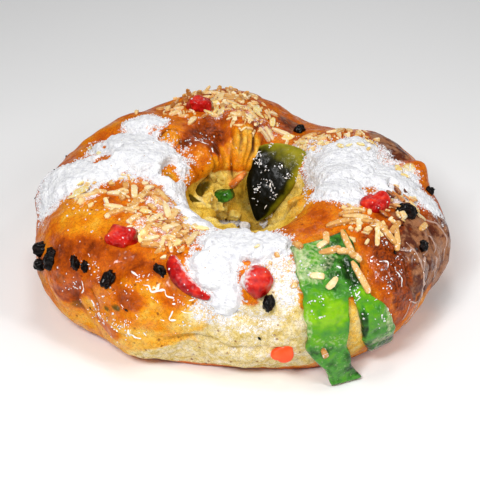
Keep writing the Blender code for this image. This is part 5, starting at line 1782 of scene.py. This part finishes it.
@dataclass
class AlmondSlivers:
    """Slivered almonds, lying by the same seeded rule as on the solid."""

    form: RingForm
    drifts: tuple = (
        (211, 94, 0.020, 0.016, 22, 0.007, 0.016), (232, 90, 0.020, 0.018, 26, 0.006, 0.013),
        (242, 74, 0.012, 0.012, 12, 0.006, 0.012), (200, 76, 0.012, 0.010, 8, 0.007, 0.014),
        (317, 86, 0.012, 0.010, 14, 0.009, 0.016), (318, 62, 0.008, 0.014, 8, 0.009, 0.017),
        (338, 58, 0.012, 0.014, 12, 0.007, 0.015), (86, 102, 0.020, 0.018, 16, 0.007, 0.014),
        (97, 82, 0.026, 0.010, 16, 0.007, 0.015), (125, 84, 0.014, 0.012, 6, 0.007, 0.013),
        (38, 100, 0.020, 0.012, 12, 0.006, 0.012), (30, 82, 0.014, 0.010, 7, 0.008, 0.016),
    )
    longest: tuple = (
        (222.4, 60, 85, 0.0215), (216.0, 90, 118, 0.0180), (218.0, 88, 120, 0.0150),
        (319.0, 62, 80, 0.0185), (322.6, 66, 74, 0.0165), (326.0, 60, 70, 0.0180), (64.0, 93, 0, 0.0170),
        (122.0, 99, 38, 0.0120), (251.0, 84, 92, 0.0170),
    )
    on_citron: tuple = (
        (304.8, 68, 74, 0.0200), (303.0, 43, 100, 0.0200), (300.0, 78, 60, 0.0090), (297.4, 74, 20, 0.0070),
        (298.4, 68, 175, 0.0130), (301.6, 64, 160, 0.0065), (291.6, 50, 170, 0.0080),
        (295.0, 44, 40, 0.0085), (304.2, 58, 120, 0.0090), (289.6, 77, 130, 0.0070),
        (291.5, -9, 110, 0.0075),
    )
    standing: tuple = (
        (115.5, 78, 70, 0.0095, 62), (119.0, 76, 120, 0.0080, 50), (108.0, 74, 80, 0.0100, 48),
        (112.0, 72, 60, 0.0090, 66), (104.0, 70, 130, 0.0085, 44), (99.0, 72, 100, 0.0080, 52),
        (94.0, 72, 70, 0.0080, 40), (122.0, 78, 95, 0.0085, 48), (88.0, 74, 110, 0.0075, 42),
        (103.0, 84, 150, 0.0080, 34), (95.0, 92, 15, 0.0085, 30), (100.0, 94, 110, 0.0090, 52),
        (90.0, 84, 60, 0.0080, 40), (84.0, 86, 130, 0.0070, 46), (76.0, 88, 20, 0.0080, 36),
        (112.5, 98, 130, 0.0070, 40),
    )
    width: float = 0.0034
    thickness: float = 0.0022
    clear: float = 0.0026
    citron_top: float = 0.0034
    spacing: float = 0.0034
    seed: int = 7

    def plan(self) -> list[tuple]:
        """Where each sliver lies: angle, turn, yaw, length, width and thickness."""
        draw = random.Random(self.seed)
        planned = []
        for angle, turn, spread_along, spread_round, count, shortest, longest in self.drifts:
            ring = float(np.hypot(*self.form.smooth_section(angle, turn)[:2]))
            for _ in range(count):
                far_along, far_round = draw.gauss(0, 0.5), draw.gauss(0, 0.5)
                planned.append((
                    angle + math.degrees(spread_along * far_along / ring),
                    turn + math.degrees(spread_round * far_round / self.form.section_reach),
                    draw.uniform(0, 180),
                    shortest + (longest - shortest) * draw.random() ** 1.3,
                    self.width * draw.uniform(0.8, 1.3),
                    self.thickness * draw.uniform(0.8, 1.2),
                ))
        longest_first = sorted(planned, key=lambda one: -one[3])
        return [(*one, self.width * 1.1, self.thickness) for one in self.longest] + longest_first

    def places(self) -> list[tuple]:
        """Matrices and sizes of the slivers that lie clear of every other piece."""
        others = [name for name in frame["nodes"] if name != "bread"]
        trees = [node_tree(name) for name in others]
        middles, kept = [], []
        for angle, turn, yaw, length, width, thickness in self.plan():
            place = self.form.seat(angle, turn, yaw, thickness * 0.22)
            spots = [place @ Vector((share * length / 4, 0, 0)) for share in range(-2, 3)]
            near = min(tree.find_nearest(spot)[3] for tree in trees for spot in spots)
            within = any(inside(tree, spot) for tree in trees for spot in spots)
            crowded = any((spots[2] - other).length < self.spacing for other in middles)
            if not (within or near < self.clear or crowded):
                middles.append(spots[2])
                kept.append((place, length, width, thickness))
        for angle, turn, yaw, length in self.on_citron:
            place = self.form.seat(angle, turn, yaw, self.citron_top + self.thickness * 0.3)
            kept.append((place, length, self.width * 1.15, self.thickness))
        for angle, turn, yaw, length, pitch in self.standing:
            place = self.form.seat(angle, turn, yaw, length * 0.3)
            lean = Matrix.Rotation(math.radians(-pitch), 4, "Y")
            kept.append((place @ lean, length, self.width, self.thickness * 0.8))
        return kept

    def build(self, tree: PlaceTree, shapes: ShapeBox, finish: bpy.types.Material) -> bpy.types.Object:
        """Sets a sliver on each place.

        Args:
            tree: The placing tree.
            shapes: The slivers' shapes.
            finish: The almond's material.

        Returns:
            One piece with all slivers.
        """
        return set_shapes("almond_slivers", self.places(), tree, shapes, finish, self.seed + 1)


def set_shapes(name: str, places: list[tuple], tree: PlaceTree, shapes: ShapeBox,
               finish: bpy.types.Material, seed: int) -> bpy.types.Object:
    """Sets a shape on each of some places.

    Args:
        name: The piece's name.
        places: Rows of matrix, length, width and thickness.
        tree: The placing tree.
        shapes: The shapes to choose from.
        finish: Their material.
        seed: Which choice.

    Returns:
        One piece with all of them.
    """
    draw = random.Random(seed)
    plan = bpy.data.meshes.new("plan")
    plan.from_pydata([place.translation for place, *_ in places], [], [])
    spins = np.array([place.to_euler() for place, *_ in places], np.float32)
    extents = np.array([size for _place, *size in places], np.float32)
    kinds = np.array([draw.randrange(len(shapes.collection.objects)) for _ in places], np.int32)
    shades = np.array([draw.uniform(0.05, 0.75) for _ in places], np.float32)
    columns = (
        ("spin", "FLOAT_VECTOR", spins, "vector"), ("extent", "FLOAT_VECTOR", extents, "vector"),
        ("kind", "INT", kinds, "value"), ("shade", "FLOAT", shades, "value"),
    )
    for column, kind, values, key in columns:
        plan.attributes.new(column, kind, "POINT").data.foreach_set(key, values.ravel())
    return run_tree(name, plan, tree.tree, {"Shapes": shapes.collection, "Finish": finish})


def on_sugar(form: RingForm) -> list[tuple]:
    """Places and sizes of the almond slices that lie on the sugar heaps."""
    places = []
    for name, angle, turn, yaw, length in SLICES_ON_SUGAR:
        at = np.array([float(angle)]), np.array([float(turn)])
        base = form.smooth_section(*at)
        depth = float(heap_depth(form, name, *at, base, heap_edge(form, base))[0][0])
        places.append((form.seat(angle, turn, yaw, max(depth, 0.0) + 0.0006), length, length, length))
    return places


# Syrup threads as painted glints and sheen, and strewn bits


@dataclass
class Threads:
    """Thin threads laid over the loaf: white ones stand in for glints on the wet glaze as painted highlights,
    pale purplish-brown ones are raised strands of glaze film with a painted sheen.
    """

    loaf: Loaf
    name: str
    runs: tuple
    step: float = 0.0006
    spokes: int = 6
    seed: int = 0
    waver: float = 0.0004
    beading: float = 0.95

    def route(self, places: tuple) -> np.ndarray:
        """Angles and turns along one thread, rounded at its bends and slightly wavy."""
        table = np.array(places, float)
        corners = self.loaf.surface(table[:, 0], table[:, 1])
        length = np.linalg.norm(np.diff(corners, axis=0), axis=1).sum()
        count = max(int(length / self.step), 10)
        along = np.linspace(0, len(table) - 1, count)
        soft = np.hanning(7) / np.hanning(7).sum()
        spread = []
        for column in (0, 1):
            values = np.interp(along, range(len(table)), table[:, column])
            spread.append(np.convolve(np.pad(values, 3, mode="edge"), soft, "valid"))
        return np.array(spread)

    def build(self, finish: bpy.types.Material) -> bpy.types.Object:
        """Builds all threads as one piece.

        Args:
            finish: The threads' material.

        Returns:
            The finished piece.
        """
        points, faces = [], []
        spin = np.arange(self.spokes) * math.tau / self.spokes
        for half, places in self.runs:
            angles, turns = self.route(places)
            middle = self.loaf.surface(angles, turns)
            up, side = self.loaf.form.across(middle, angles, turns)
            middle = middle + side * (self.waver * grain(middle, 0.003, self.seed))[:, None]
            full = half * np.sin(math.pi * np.linspace(0.03, 0.97, len(angles))) ** 0.4
            full = full * (1 + self.beading * grain(middle, 0.0020, self.seed + 1))
            ring = middle[:, None] + full[:, None, None] * (
                side[:, None] * np.cos(spin)[None, :, None] + 0.8 * up[:, None] * np.sin(spin)[None, :, None])
            first = sum(len(part) for part in points)
            points.append(ring.reshape(-1, 3))
            faces += tube_faces(len(angles), self.spokes, first)
        return mesh_object(self.name, np.concatenate(points), faces, finish)


def leaning_slices(form: RingForm) -> list[tuple]:
    """Places and sizes of the browned almond slices that lean on one another."""
    places = []
    for angle, turn, yaw, tilt, length in BROWNED_SLICES:
        place = form.seat(angle, turn, yaw, 0.0012) @ Matrix.Rotation(math.radians(tilt), 4, "X")
        places.append((place, length, length, length * 1.2))
    return places


def gather(pieces: list, mask: str) -> bpy.types.Mesh:
    """Joins copies of some pieces into one mesh with one of their attributes.

    Args:
        pieces: Finished objects that have the attribute.
        mask: The attribute's name.

    Returns:
        A mesh that the strewing tree can start from.
    """
    points, faces, values = [], [], []
    for piece in pieces:
        mesh, first = piece.data, len(points)
        points += [tuple(vertex.co) for vertex in mesh.vertices]
        faces += [tuple(first + i for i in polygon.vertices) for polygon in mesh.polygons]
        layer = np.zeros(len(mesh.vertices), np.float32)
        mesh.attributes[mask].data.foreach_get("value", layer)
        values += layer.tolist()
    joined = bpy.data.meshes.new("carrier")
    joined.from_pydata(points, [], faces)
    joined.update()
    joined.attributes.new(mask, "FLOAT", "POINT").data.foreach_set("value", values)
    return joined


# Light and camera


@dataclass
class Studio:
    """Pale floor, soft light from above and a camera at the photograph's angle."""

    elevation: float = 34.0
    distance: float = 0.75
    lens: float = 89.28
    aim_height: float = 0.036
    aim_drop: float = 0.01393
    floor_half: float = 2.0
    sky_strength: float = 0.22
    lamp_aim: float = 0.04
    lamps: tuple = (
        ("key soft box", (-0.30, -0.60, 0.75), 0.22, 3.9),
        ("fill soft box", (0.55, -0.45, 0.60), 0.24, 1.8),
        ("small lamp left", (-0.25, -0.55, 0.55), 0.035, 0.5),
        ("small lamp right", (0.35, -0.30, 0.75), 0.035, 0.4),
        ("middle lamp", (-0.10, -0.55, 0.65), 0.08, 0.8), ("top soft box", (0.02, -0.06, 0.80), 0.18, 1.0),
        ("back soft box", (0.10, 0.70, 0.60), 0.40, 0.6),
    )

    def lamp(self, name: str, place: tuple, size: float, power: float) -> None:
        """Adds a square soft box that faces the loaf."""
        data = bpy.data.lights.new(name, "AREA")
        data.energy = power
        data.size = size
        made = bpy.data.objects.new(name, data)
        bpy.context.scene.collection.objects.link(made)
        made.location = place
        made.rotation_mode = "QUATERNION"
        made.rotation_quaternion = (Vector(place) - Vector((0, 0, self.lamp_aim))).to_track_quat("Z", "Y")

    def build(self) -> None:
        """Builds floor, lights, sky and camera."""
        scene = bpy.context.scene
        paper = Graph(Finish("pale paper sweep", roughness=0.9))
        paper.shader.inputs["Base Color"].default_value = linear("#FBFBFB")
        corners = np.array([(-1, -1, 0), (1, -1, 0), (1, 1, 0), (-1, 1, 0)]) * self.floor_half
        floor = mesh_object("floor", corners, [(0, 1, 2, 3)], paper.made)
        world = bpy.data.worlds.new("white studio")
        scene.world = world
        world.use_nodes = True
        sky = world.node_tree.nodes["Background"]
        sky.inputs["Color"].default_value = (1.0, 1.0, 1.0, 1.0)
        sky.inputs["Strength"].default_value = self.sky_strength
        for lamp in self.lamps:
            self.lamp(*lamp)
        scene.view_settings.view_transform = "Standard"
        rise = math.radians(self.elevation)
        back = Vector((0, -math.cos(rise), math.sin(rise)))
        up = Vector((0, math.sin(rise), math.cos(rise)))
        data = bpy.data.cameras.new("camera")
        data.sensor_width = 36.0
        data.lens = self.lens
        camera = bpy.data.objects.new("camera", data)
        scene.collection.objects.link(camera)
        camera.location = Vector((0, 0, self.aim_height)) - up * self.aim_drop + back * self.distance
        camera.rotation_mode = "QUATERNION"
        camera.rotation_quaternion = back.to_track_quat("Z", "Y")
        scene.camera = camera


CHERRY = SyrupFinish("candied cherry", roughness=0.22, bump=0.8, mottling=1.0, feature=3.5, tones=(
    (0.10, "#560204"), (0.38, "#A00606"), (0.62, "#CC1810"), (0.95, "#F04A2A")),
    glow=(0.0050, 0.0008, 0.0004))
CITRON = SyrupFinish("candied citron", roughness=0.24, bump=0.60, mottling=1.0, tones=(
    (0.00, "#0E2E08"), (0.22, "#275C14"), (0.42, "#4A9030"), (0.68, "#62A610"), (0.95, "#8AC218")),
    glow=(0.0010, 0.0040, 0.0005), glow_weight=0.12, frost="#D2D8A6")
DARK_FRUIT = SyrupFinish("candied fig", roughness=0.40, bump=0.25, tones=(
    (0.05, "#080801"), (0.30, "#1F1E03"), (0.52, "#6A660C"), (0.90, "#A89C1C")),
    glow=(0.0010, 0.0016, 0.0003), glow_weight=0.08, coat=0.10)
PEEL = SyrupFinish("candied orange peel", roughness=0.35, bump=0.15, tones=(
    (0.2, "#F04A1E"), (0.6, "#FB5526"), (0.9, "#FF6A3A")), glow=(0.003, 0.001, 0.0005), glow_weight=0.1)
RAISIN = RaisinFinish("raisin", roughness=0.38, bump=0.8)
SUGAR_WHITE = SugarFinish("icing sugar", roughness=1.0, bump=1.0)
ALMOND = AlmondFinish("blanched almond", roughness=0.55, bump=0.35, powder=0.05)
SLICE = AlmondFinish("almond slice", roughness=0.6, bump=0.3, powder=0.08, tones=(
    (0.0, "#F8E9A8"), (0.4, "#F3DC92"), (0.7, "#E9C670"), (1.0, "#CB9440")))
CRUMB = AlmondFinish("torn crumb", roughness=0.8, bump=0.7, tones=(
    (0.1, "#F3E08C"), (0.4, "#E8CB62"), (0.7, "#D6AE40"), (1.0, "#A67E1C")))
BROWNED = AlmondFinish("browned almond slice", roughness=0.5, bump=0.3, powder=0.02, tones=(
    (0.0, "#EDBE7A"), (0.4, "#D2853C"), (0.75, "#7E3812"), (1.0, "#3C180A")))
TOASTED = AlmondFinish("toasted almond", roughness=0.4, bump=0.3, tones=(
    (0.1, "#F29A48"), (0.5, "#E9822E"), (1.0, "#B4541A")))
# White glassy threads and dashes that stand in for glints on the glaze and fruit: painted highlights.
GLINT_WHITE = ThreadFinish("dried syrup", roughness=0.12, tone="#FFFDF8")
# Pale purplish brown of the film's strands, partly a painted sheen.
FILM_AND_SHEEN = ThreadFinish("syrup film", roughness=0.25, tone="#B89280")

CHERRIES = {
    "cherry_left": Morsel(227.8, 66, 0.0180, 0.0145, 0.0072, 10, 0.0012, 0.85,
                          ((0.7, 0.24), (0.4, 0.10)), seed=1),
    "cherry_front": Morsel(275, 46, 0.0175, 0.0180, 0.0095, 40, 0.0013, 0.9,
                           ((0.8, 0.18), (0.4, 0.10)), seed=2, powder=(-0.40, 0.55, 0.1)),
    "cherry_right": Morsel(329, 78, 0.0180, 0.0145, 0.0072, 150, 0.0012, 0.85,
                           ((0.6, 0.24), (0.4, 0.10)), seed=3),
    "cherry_back": Morsel(111, 87, 0.0170, 0.0140, 0.0085, 0, 0.0012, 0.85,
                          ((0.6, 0.24), (0.4, 0.10)), seed=4),
}

# The raisins: angle, turn, length, width, height and yaw.
RAISIN_PLACES = (
    (206.0, 23, 0.0092, 0.0072, 0.0052, 80), (207.5, 12, 0.0084, 0.0072, 0.0050, 20),
    (212.0, 25, 0.0125, 0.0066, 0.0052, 95), (220.3, 34, 0.0088, 0.0050, 0.0040, 130),
    (223.0, 35, 0.0066, 0.0044, 0.0036, 110), (231.5, 32, 0.0110, 0.0064, 0.0050, 80),
    (245.8, 49, 0.0098, 0.0048, 0.0036, 150), (277.8, 29, 0.0090, 0.0060, 0.0048, 90),
    (333.0, 60, 0.0125, 0.0080, 0.0058, 100), (327.8, 35, 0.0062, 0.0052, 0.0042, 70),
    (58.5, 84, 0.0072, 0.0064, 0.0050, 60), (357.5, 40, 0.0056, 0.0048, 0.0036, 90),
)

# Pieces that each heap keeps clear of.
SUGAR_NEIGHBOURS = {
    "sugar_left": (),
    "sugar_front": ("cherry_front", "cherry_strip", "citron"),
    "sugar_right": ("hole_fruit", "cherry_right"),
    "sugar_back": (),
}

# Almond slices on the sugar: heap, angle, turn, yaw and length.
SLICES_ON_SUGAR = (
    ("sugar_right", 15.0, 96, 20, 0.0062), ("sugar_right", 13.5, 92, 100, 0.0045),
    ("sugar_right", 13.5, 87, 60, 0.0056), ("sugar_right", 10.0, 84, 140, 0.0048),
    ("sugar_right", 1.0, 67, 10, 0.0085), ("sugar_right", 357.0, 64, 70, 0.0062),
    ("sugar_right", 16.0, 80, 30, 0.0050), ("sugar_left", 171.0, 72, 30, 0.0060),
    ("sugar_left", 184.0, 80, 110, 0.0055), ("sugar_left", 196.0, 70, 80, 0.0062),
    ("sugar_left", 165.0, 62, 0, 0.0050), ("sugar_front", 276.0, 74, 45, 0.0040),
)

# Browned slices by the right cherry: angle, turn, yaw, tilt and length.
BROWNED_SLICES = (
    (338.0, 74, 30, 24, 0.0110), (338.5, 69, 60, 30, 0.0100), (333.5, 66, 120, 16, 0.0095),
    (343.0, 70, 10, 20, 0.0100), (336.0, 63, 150, 26, 0.0090), (341.0, 62, 80, 14, 0.0085),
    (346.0, 64, 40, 22, 0.0080), (331.0, 71, 100, 30, 0.0075), (344.0, 58, 120, 10, 0.0070),
    (325.0, 71, 60, 18, 0.0075),
)

GREEN_CUBE = Morsel(116, 173, 0.0130, 0.0080, 0.0060, 8, square=0.6, swells=((0.6, 0.14),), seed=6,
                    ripeness=0.10)
PEEL_CHIP = Morsel(281.5, -12, 0.0120, 0.0110, 0.0026, 10, square=0.8, swells=((0.9, 0.06),), seed=8,
                   outline=(1.15, 0.85, 1.05, 1.0, 0.95, 1.15, 0.85, 0.85, 1.15))

# Kinds of bit in the hole: sink, squareness, swells and wrinkle.
HOLE_KINDS = {
    "crumb": (-0.0010, 0.8, ((0.7, 0.35), (0.3, 0.15)), 0.0),
    "flap": (-0.0008, 0.8, ((0.7, 0.30), (0.3, 0.10)), 0.0),
    "sugar": (-0.0008, 0.9, ((0.6, 0.35), (0.25, 0.2)), 0.0),
    "raisin": (0.0008, 0.9, ((0.8, 0.14),), 0.13),
    "toasted": (-0.0015, 0.6, ((0.7, 0.15),), 0.0),
}

# Bits in the hole: piece, kind, angle, turn, length, width, height, yaw and seed.
HOLE_BITS = (
    ("crumb", "crumb", 168, 164, 0.0100, 0.0070, 0.0040, 20, 21),
    ("crumb", "crumb", 154, 172, 0.0090, 0.0080, 0.0050, 70, 22),
    ("crumb", "crumb", 136, 180, 0.0110, 0.0070, 0.0050, 10, 23),
    ("crumb", "crumb", 120, 190, 0.0100, 0.0080, 0.0055, 50, 24),
    ("crumb", "crumb", 142, 188, 0.0120, 0.0060, 0.0045, 80, 25),
    ("crumb", "crumb", 100, 196, 0.0090, 0.0070, 0.0045, 30, 26),
    ("crumb", "crumb", 182, 168, 0.0090, 0.0060, 0.0040, 40, 27),
    ("crumb", "flap", 118, 152, 0.0130, 0.0060, 0.0030, 100, 28),
    ("crumb", "flap", 130, 150, 0.0110, 0.0050, 0.0028, 120, 29),
    ("sugar", "sugar", 113, 205, 0.0100, 0.0060, 0.0040, 10, 31),
    ("sugar", "sugar", 98, 206, 0.0080, 0.0070, 0.0040, 60, 32),
    ("sugar", "sugar", 83, 205, 0.0080, 0.0060, 0.0035, 0, 33),
    ("sugar", "sugar", 45, 193, 0.0070, 0.0050, 0.0030, 40, 34),
    ("sugar", "sugar", 36, 181, 0.0080, 0.0045, 0.0028, 90, 35),
    ("raisin", "raisin", 104, 176, 0.0075, 0.0050, 0.0032, 20, 36),
    ("toasted", "toasted", 91, 160, 0.0150, 0.0048, 0.0060, 62, 37),
)

# White threads of syrup that stand in for glints on the glaze, as painted highlights: half width and the
# route's angles and turns.
GLINT_RUNS = (
    (0.00052, ((242.5, 35.5), (244.5, 35.8), (245.5, 31.5), (249.0, 35.0), (249.8, 30.5), (252.0, 29.0))),
    (0.00044, ((237.5, 43.3), (239.0, 42.5), (240.5, 40.3))),
    (0.00048, ((227.5, 9.5), (228.5, 5.8), (228.0, -0.3))),
    (0.00054, ((240.5, 1.3), (240.6, -3.0), (242.0, -5.2), (243.8, -5.8))),
    (0.00044, ((251.5, 25.3), (252.5, 25.3))), (0.00048, ((252.0, 20.0), (251.0, 12.0), (253.0, 12.6))),
    (0.00048, ((248.6, 11.5), (249.8, 11.0))), (0.00044, ((254.0, 20.0), (255.0, 18.5), (257.5, 18.5))),
    (0.00051, ((136.0, 118.3), (130.0, 122.0), (123.5, 126.0))),
    (0.00044, ((128.0, 134.0), (126.0, 130.0), (122.0, 131.0))),
    (0.00044, ((314.0, 36.0), (315.0, 28.0), (314.0, 22.0))),
    (0.00041, ((311.0, 48.0), (313.0, 44.0), (312.0, 40.0))),
    (0.00044, ((223.0, 22.0), (225.0, 16.0), (224.0, 11.0))),
)
# Pale strands of glaze film on the right flank, raised on the crust, their paleness partly a painted sheen:
# half width and the route's angles and turns.
FILM_AND_SHEEN_RUNS = (
    (0.00090, ((322.0, 47.0), (322.5, 38.8), (322.5, 32.0), (322.5, 23.8), (322.0, 15.5), (324.0, 2.0),
               (325.0, -7.0), (321.0, -17.0), (316.0, -20.0))),
    (0.00065, ((329.0, 30.5), (325.5, 27.5), (323.0, 21.0))),
    (0.00045, ((324.5, -4.0), (319.0, 1.0), (316.5, 6.5), (314.5, -8.0))),
    (0.00050, ((333.0, 44.0), (334.0, 28.0), (332.0, 10.0), (334.0, -6.0))),
    (0.00050, ((338.0, 50.0), (341.0, 34.0), (342.0, 16.0), (340.0, 0.0))),
    (0.00045, ((318.0, 52.0), (319.5, 44.0), (322.0, 40.0))),
    (0.00040, ((348.0, 20.0), (350.0, 4.0), (347.0, -12.0))),
)


def build_fruit(form: RingForm, sugar: bpy.types.Material, raisin: bpy.types.Material) -> list:
    """Builds the candied fruit, the raisins and the bits in the hole.

    Args:
        form: The loaf's form.
        sugar: The sugar's material.
        raisin: The raisins' material.

    Returns:
        The pieces that sugar crystals and painted glints lie on.
    """
    cherry, citron = CHERRY.material(), CITRON.material()
    sticky = [build_morsels(form, f"candied_{name}", [morsel], cherry) for name, morsel in CHERRIES.items()]
    for piece, name in zip(sticky, CHERRIES):
        report(piece, Slot.CHERRY, (name,))
    strip = CherryStrip(form).build(cherry)
    report(strip, Slot.CHERRY, ("cherry_strip",))
    slab = Citron(form).build(citron)
    report(slab, Slot.CITRON, ("citron",))
    report(build_morsels(form, "candied_green_cube", [GREEN_CUBE], citron), Slot.CITRON, ("green_cube",))
    fig = HoleFruit().build(DARK_FRUIT.material())
    report(fig, Slot.DARK_FRUIT, ("hole_fruit",))
    report(build_morsels(form, "candied_peel_chip", [PEEL_CHIP], PEEL.material()), Slot.PEEL, ("peel_chip",))
    for number, (angle, turn, length, width, height, yaw) in enumerate(RAISIN_PLACES, 1):
        morsel = Morsel(angle, turn, length, width, height, yaw, height * 0.25, 0.9,
                        ((0.8, 0.2), (0.4, 0.14)), 0.20, number)
        piece = build_morsels(form, f"wrinkled_raisin_{number}", [morsel], raisin)
        report(piece, Slot.RAISIN, (f"raisin_{number}",))
    finishes = {"crumb": CRUMB.material(), "sugar": sugar, "raisin": raisin, "toasted": TOASTED.material()}
    for name, finish in finishes.items():
        bits = [Morsel(*place, *HOLE_KINDS[kind], seed)
                for piece, kind, *place, seed in HOLE_BITS if piece == name]
        report(build_morsels(form, f"{name}_in_hole", bits, finish))
    return sticky + [strip, slab, fig]


def small_shapes() -> dict[str, ShapeBox]:
    """Makes the shapes that are strewn and set, by the name of their kind."""
    boxes = {name: ShapeBox(name) for name in ("sliver", "chip", "slice", "grain", "dash")}
    sliver = ((-0.5, 0.50, 0.6), (-0.43, 0.85, 0.9), (-0.1, 1.0, 1.0), (0.35, 0.85, 0.95), (0.5, 0.40, 0.6))
    stub = ((-0.5, 0.7, 0.8), (0.0, 1.0, 1.0), (0.5, 0.7, 0.7))
    dash = ((-0.5, 0.5, 0.6), (-0.2, 1.0, 1.0), (0.15, 0.7, 1.0), (0.5, 0.4, 0.6))
    for seed, bow in enumerate((0.0, 0.15, -0.1, 0.35)):
        boxes["sliver"].rod(sliver, 6, 0.45, bow, seed)
    for seed in range(3):
        boxes["chip"].flake(5 + seed % 2, (0.75, 0.32), seed + 20)
        boxes["chip"].rod(stub, 5, 0.5, 0.0, seed + 9, (0.42, 0.34))
        boxes["slice"].flake(7, (0.62, 0.13), seed + 30)
        boxes["grain"].pebble(3, 5, 0.6, seed)
        boxes["dash"].rod(dash, 5, 0.8, 0.05, seed + 40, (0.36, 0.22))
    return boxes


# What is strewn: piece, carrier, shapes, finish, mask, density, smallest, largest, lift, tilt and seed.
STREWN = (
    ("chopped_almonds", "crust", "chip", "almond", "chopped", 62000.0, 0.0022, 0.0060, 0.0006, 0.45, 3),
    ("almond_slices", "crust", "slice", "slice", "sliced", 9000.0, 0.0060, 0.0105, 0.0007, 0.35, 4),
    ("sugar_crumbs", "crust", "grain", "sugar", "crumbs", 800000.0, 0.0004, 0.0013, 0.0002, 1.0, 5),
    # The white grains and dashes strewn by the glint spots stand in for glints on the glaze and the fruit, as
    # painted highlights; on the fruit the grains are also sugar crystals.
    ("syrup_beads", "crust", "grain", "sugar", "beads", 270000.0, 0.0005, 0.0013, 0.0001, 1.0, 9),
    ("syrup_dashes", "crust", "dash", "syrup", "beads", 26000.0, 0.0009, 0.0026, 0.0002, 0.15, 17),
    ("syrup_glints", "fruit", "dash", "syrup", "beads", 50000.0, 0.0009, 0.0026, 0.0002, 0.15, 18),
    ("syrup_crystals", "fruit", "grain", "sugar", "beads", 200000.0, 0.0005, 0.0014, 0.0001, 1.0, 10),
    ("dark_bits", "crust", "chip", "raisin", "dark_bits", 12000.0, 0.0014, 0.0034, 0.0003, 0.5, 13),
)


def build_strewn(loaf: Loaf, crust: bpy.types.Object, sticky: list, sugar: bpy.types.Material,
                 raisin: bpy.types.Material) -> None:
    """Strews almonds, sugar crumbs, sugar crystals, white grains and dashes as painted glints, and dark bits,
    and lays the syrup threads.

    Args:
        loaf: The loaf.
        crust: Its built piece.
        sticky: Pieces of fruit that sugar crystals and painted glints lie on.
        sugar: The sugar's material.
        raisin: The raisins' material.
    """
    placing, strewing = PlaceTree(), StrewTree()
    boxes = small_shapes()
    finishes = {"almond": ALMOND.material(), "slice": SLICE.material(), "sugar": sugar, "raisin": raisin,
                "syrup": GLINT_WHITE.material()}
    report(AlmondSlivers(loaf.form).build(placing, boxes["sliver"], finishes["almond"]), Slot.CRUST)
    report(set_shapes("slices_on_sugar", on_sugar(loaf.form), placing, boxes["slice"], finishes["slice"], 19))
    browned = leaning_slices(loaf.form)
    report(set_shapes("browned_slices", browned, placing, boxes["slice"], BROWNED.material(), 23))
    carriers = {"crust": crust.data, "fruit": gather(sticky, "beads")}
    labels = ("Mask", "Density", "Smallest", "Largest", "Lift", "Tilt", "Seed")
    for name, carrier, shapes, finish, *values in STREWN:
        inputs = {"Shapes": boxes[shapes].collection, "Finish": finishes[finish], **dict(zip(labels, values))}
        report(run_tree(name, carriers[carrier], strewing.tree, inputs))
    for name, runs, finish, seed in (("runs", GLINT_RUNS, finishes["syrup"], 101),
                                     ("film", FILM_AND_SHEEN_RUNS, FILM_AND_SHEEN.material(), 105)):
        report(Threads(loaf, f"syrup_{name}", runs, seed=seed).build(finish))


def main() -> None:
    """Builds the loaf and all that lies on it, then the studio."""
    logging.basicConfig(level=logging.INFO, format="%(message)s")
    loaf = Loaf(FORM, CrustFinish("glazed crust", bump=0.35))
    crust = loaf.build()
    report(crust, Slot.CRUST, ("bread",))
    sugar = SUGAR_WHITE.material()
    for name, neighbours in SUGAR_NEIGHBOURS.items():
        report(SugarHeap(FORM, name, neighbours).build(sugar), Slot.SUGAR, (name,))
    raisin = RAISIN.material()
    sticky = build_fruit(FORM, sugar, raisin)
    build_strewn(loaf, crust, sticky, sugar, raisin)
    Studio().build()


if __name__ == "__main__":
    main()
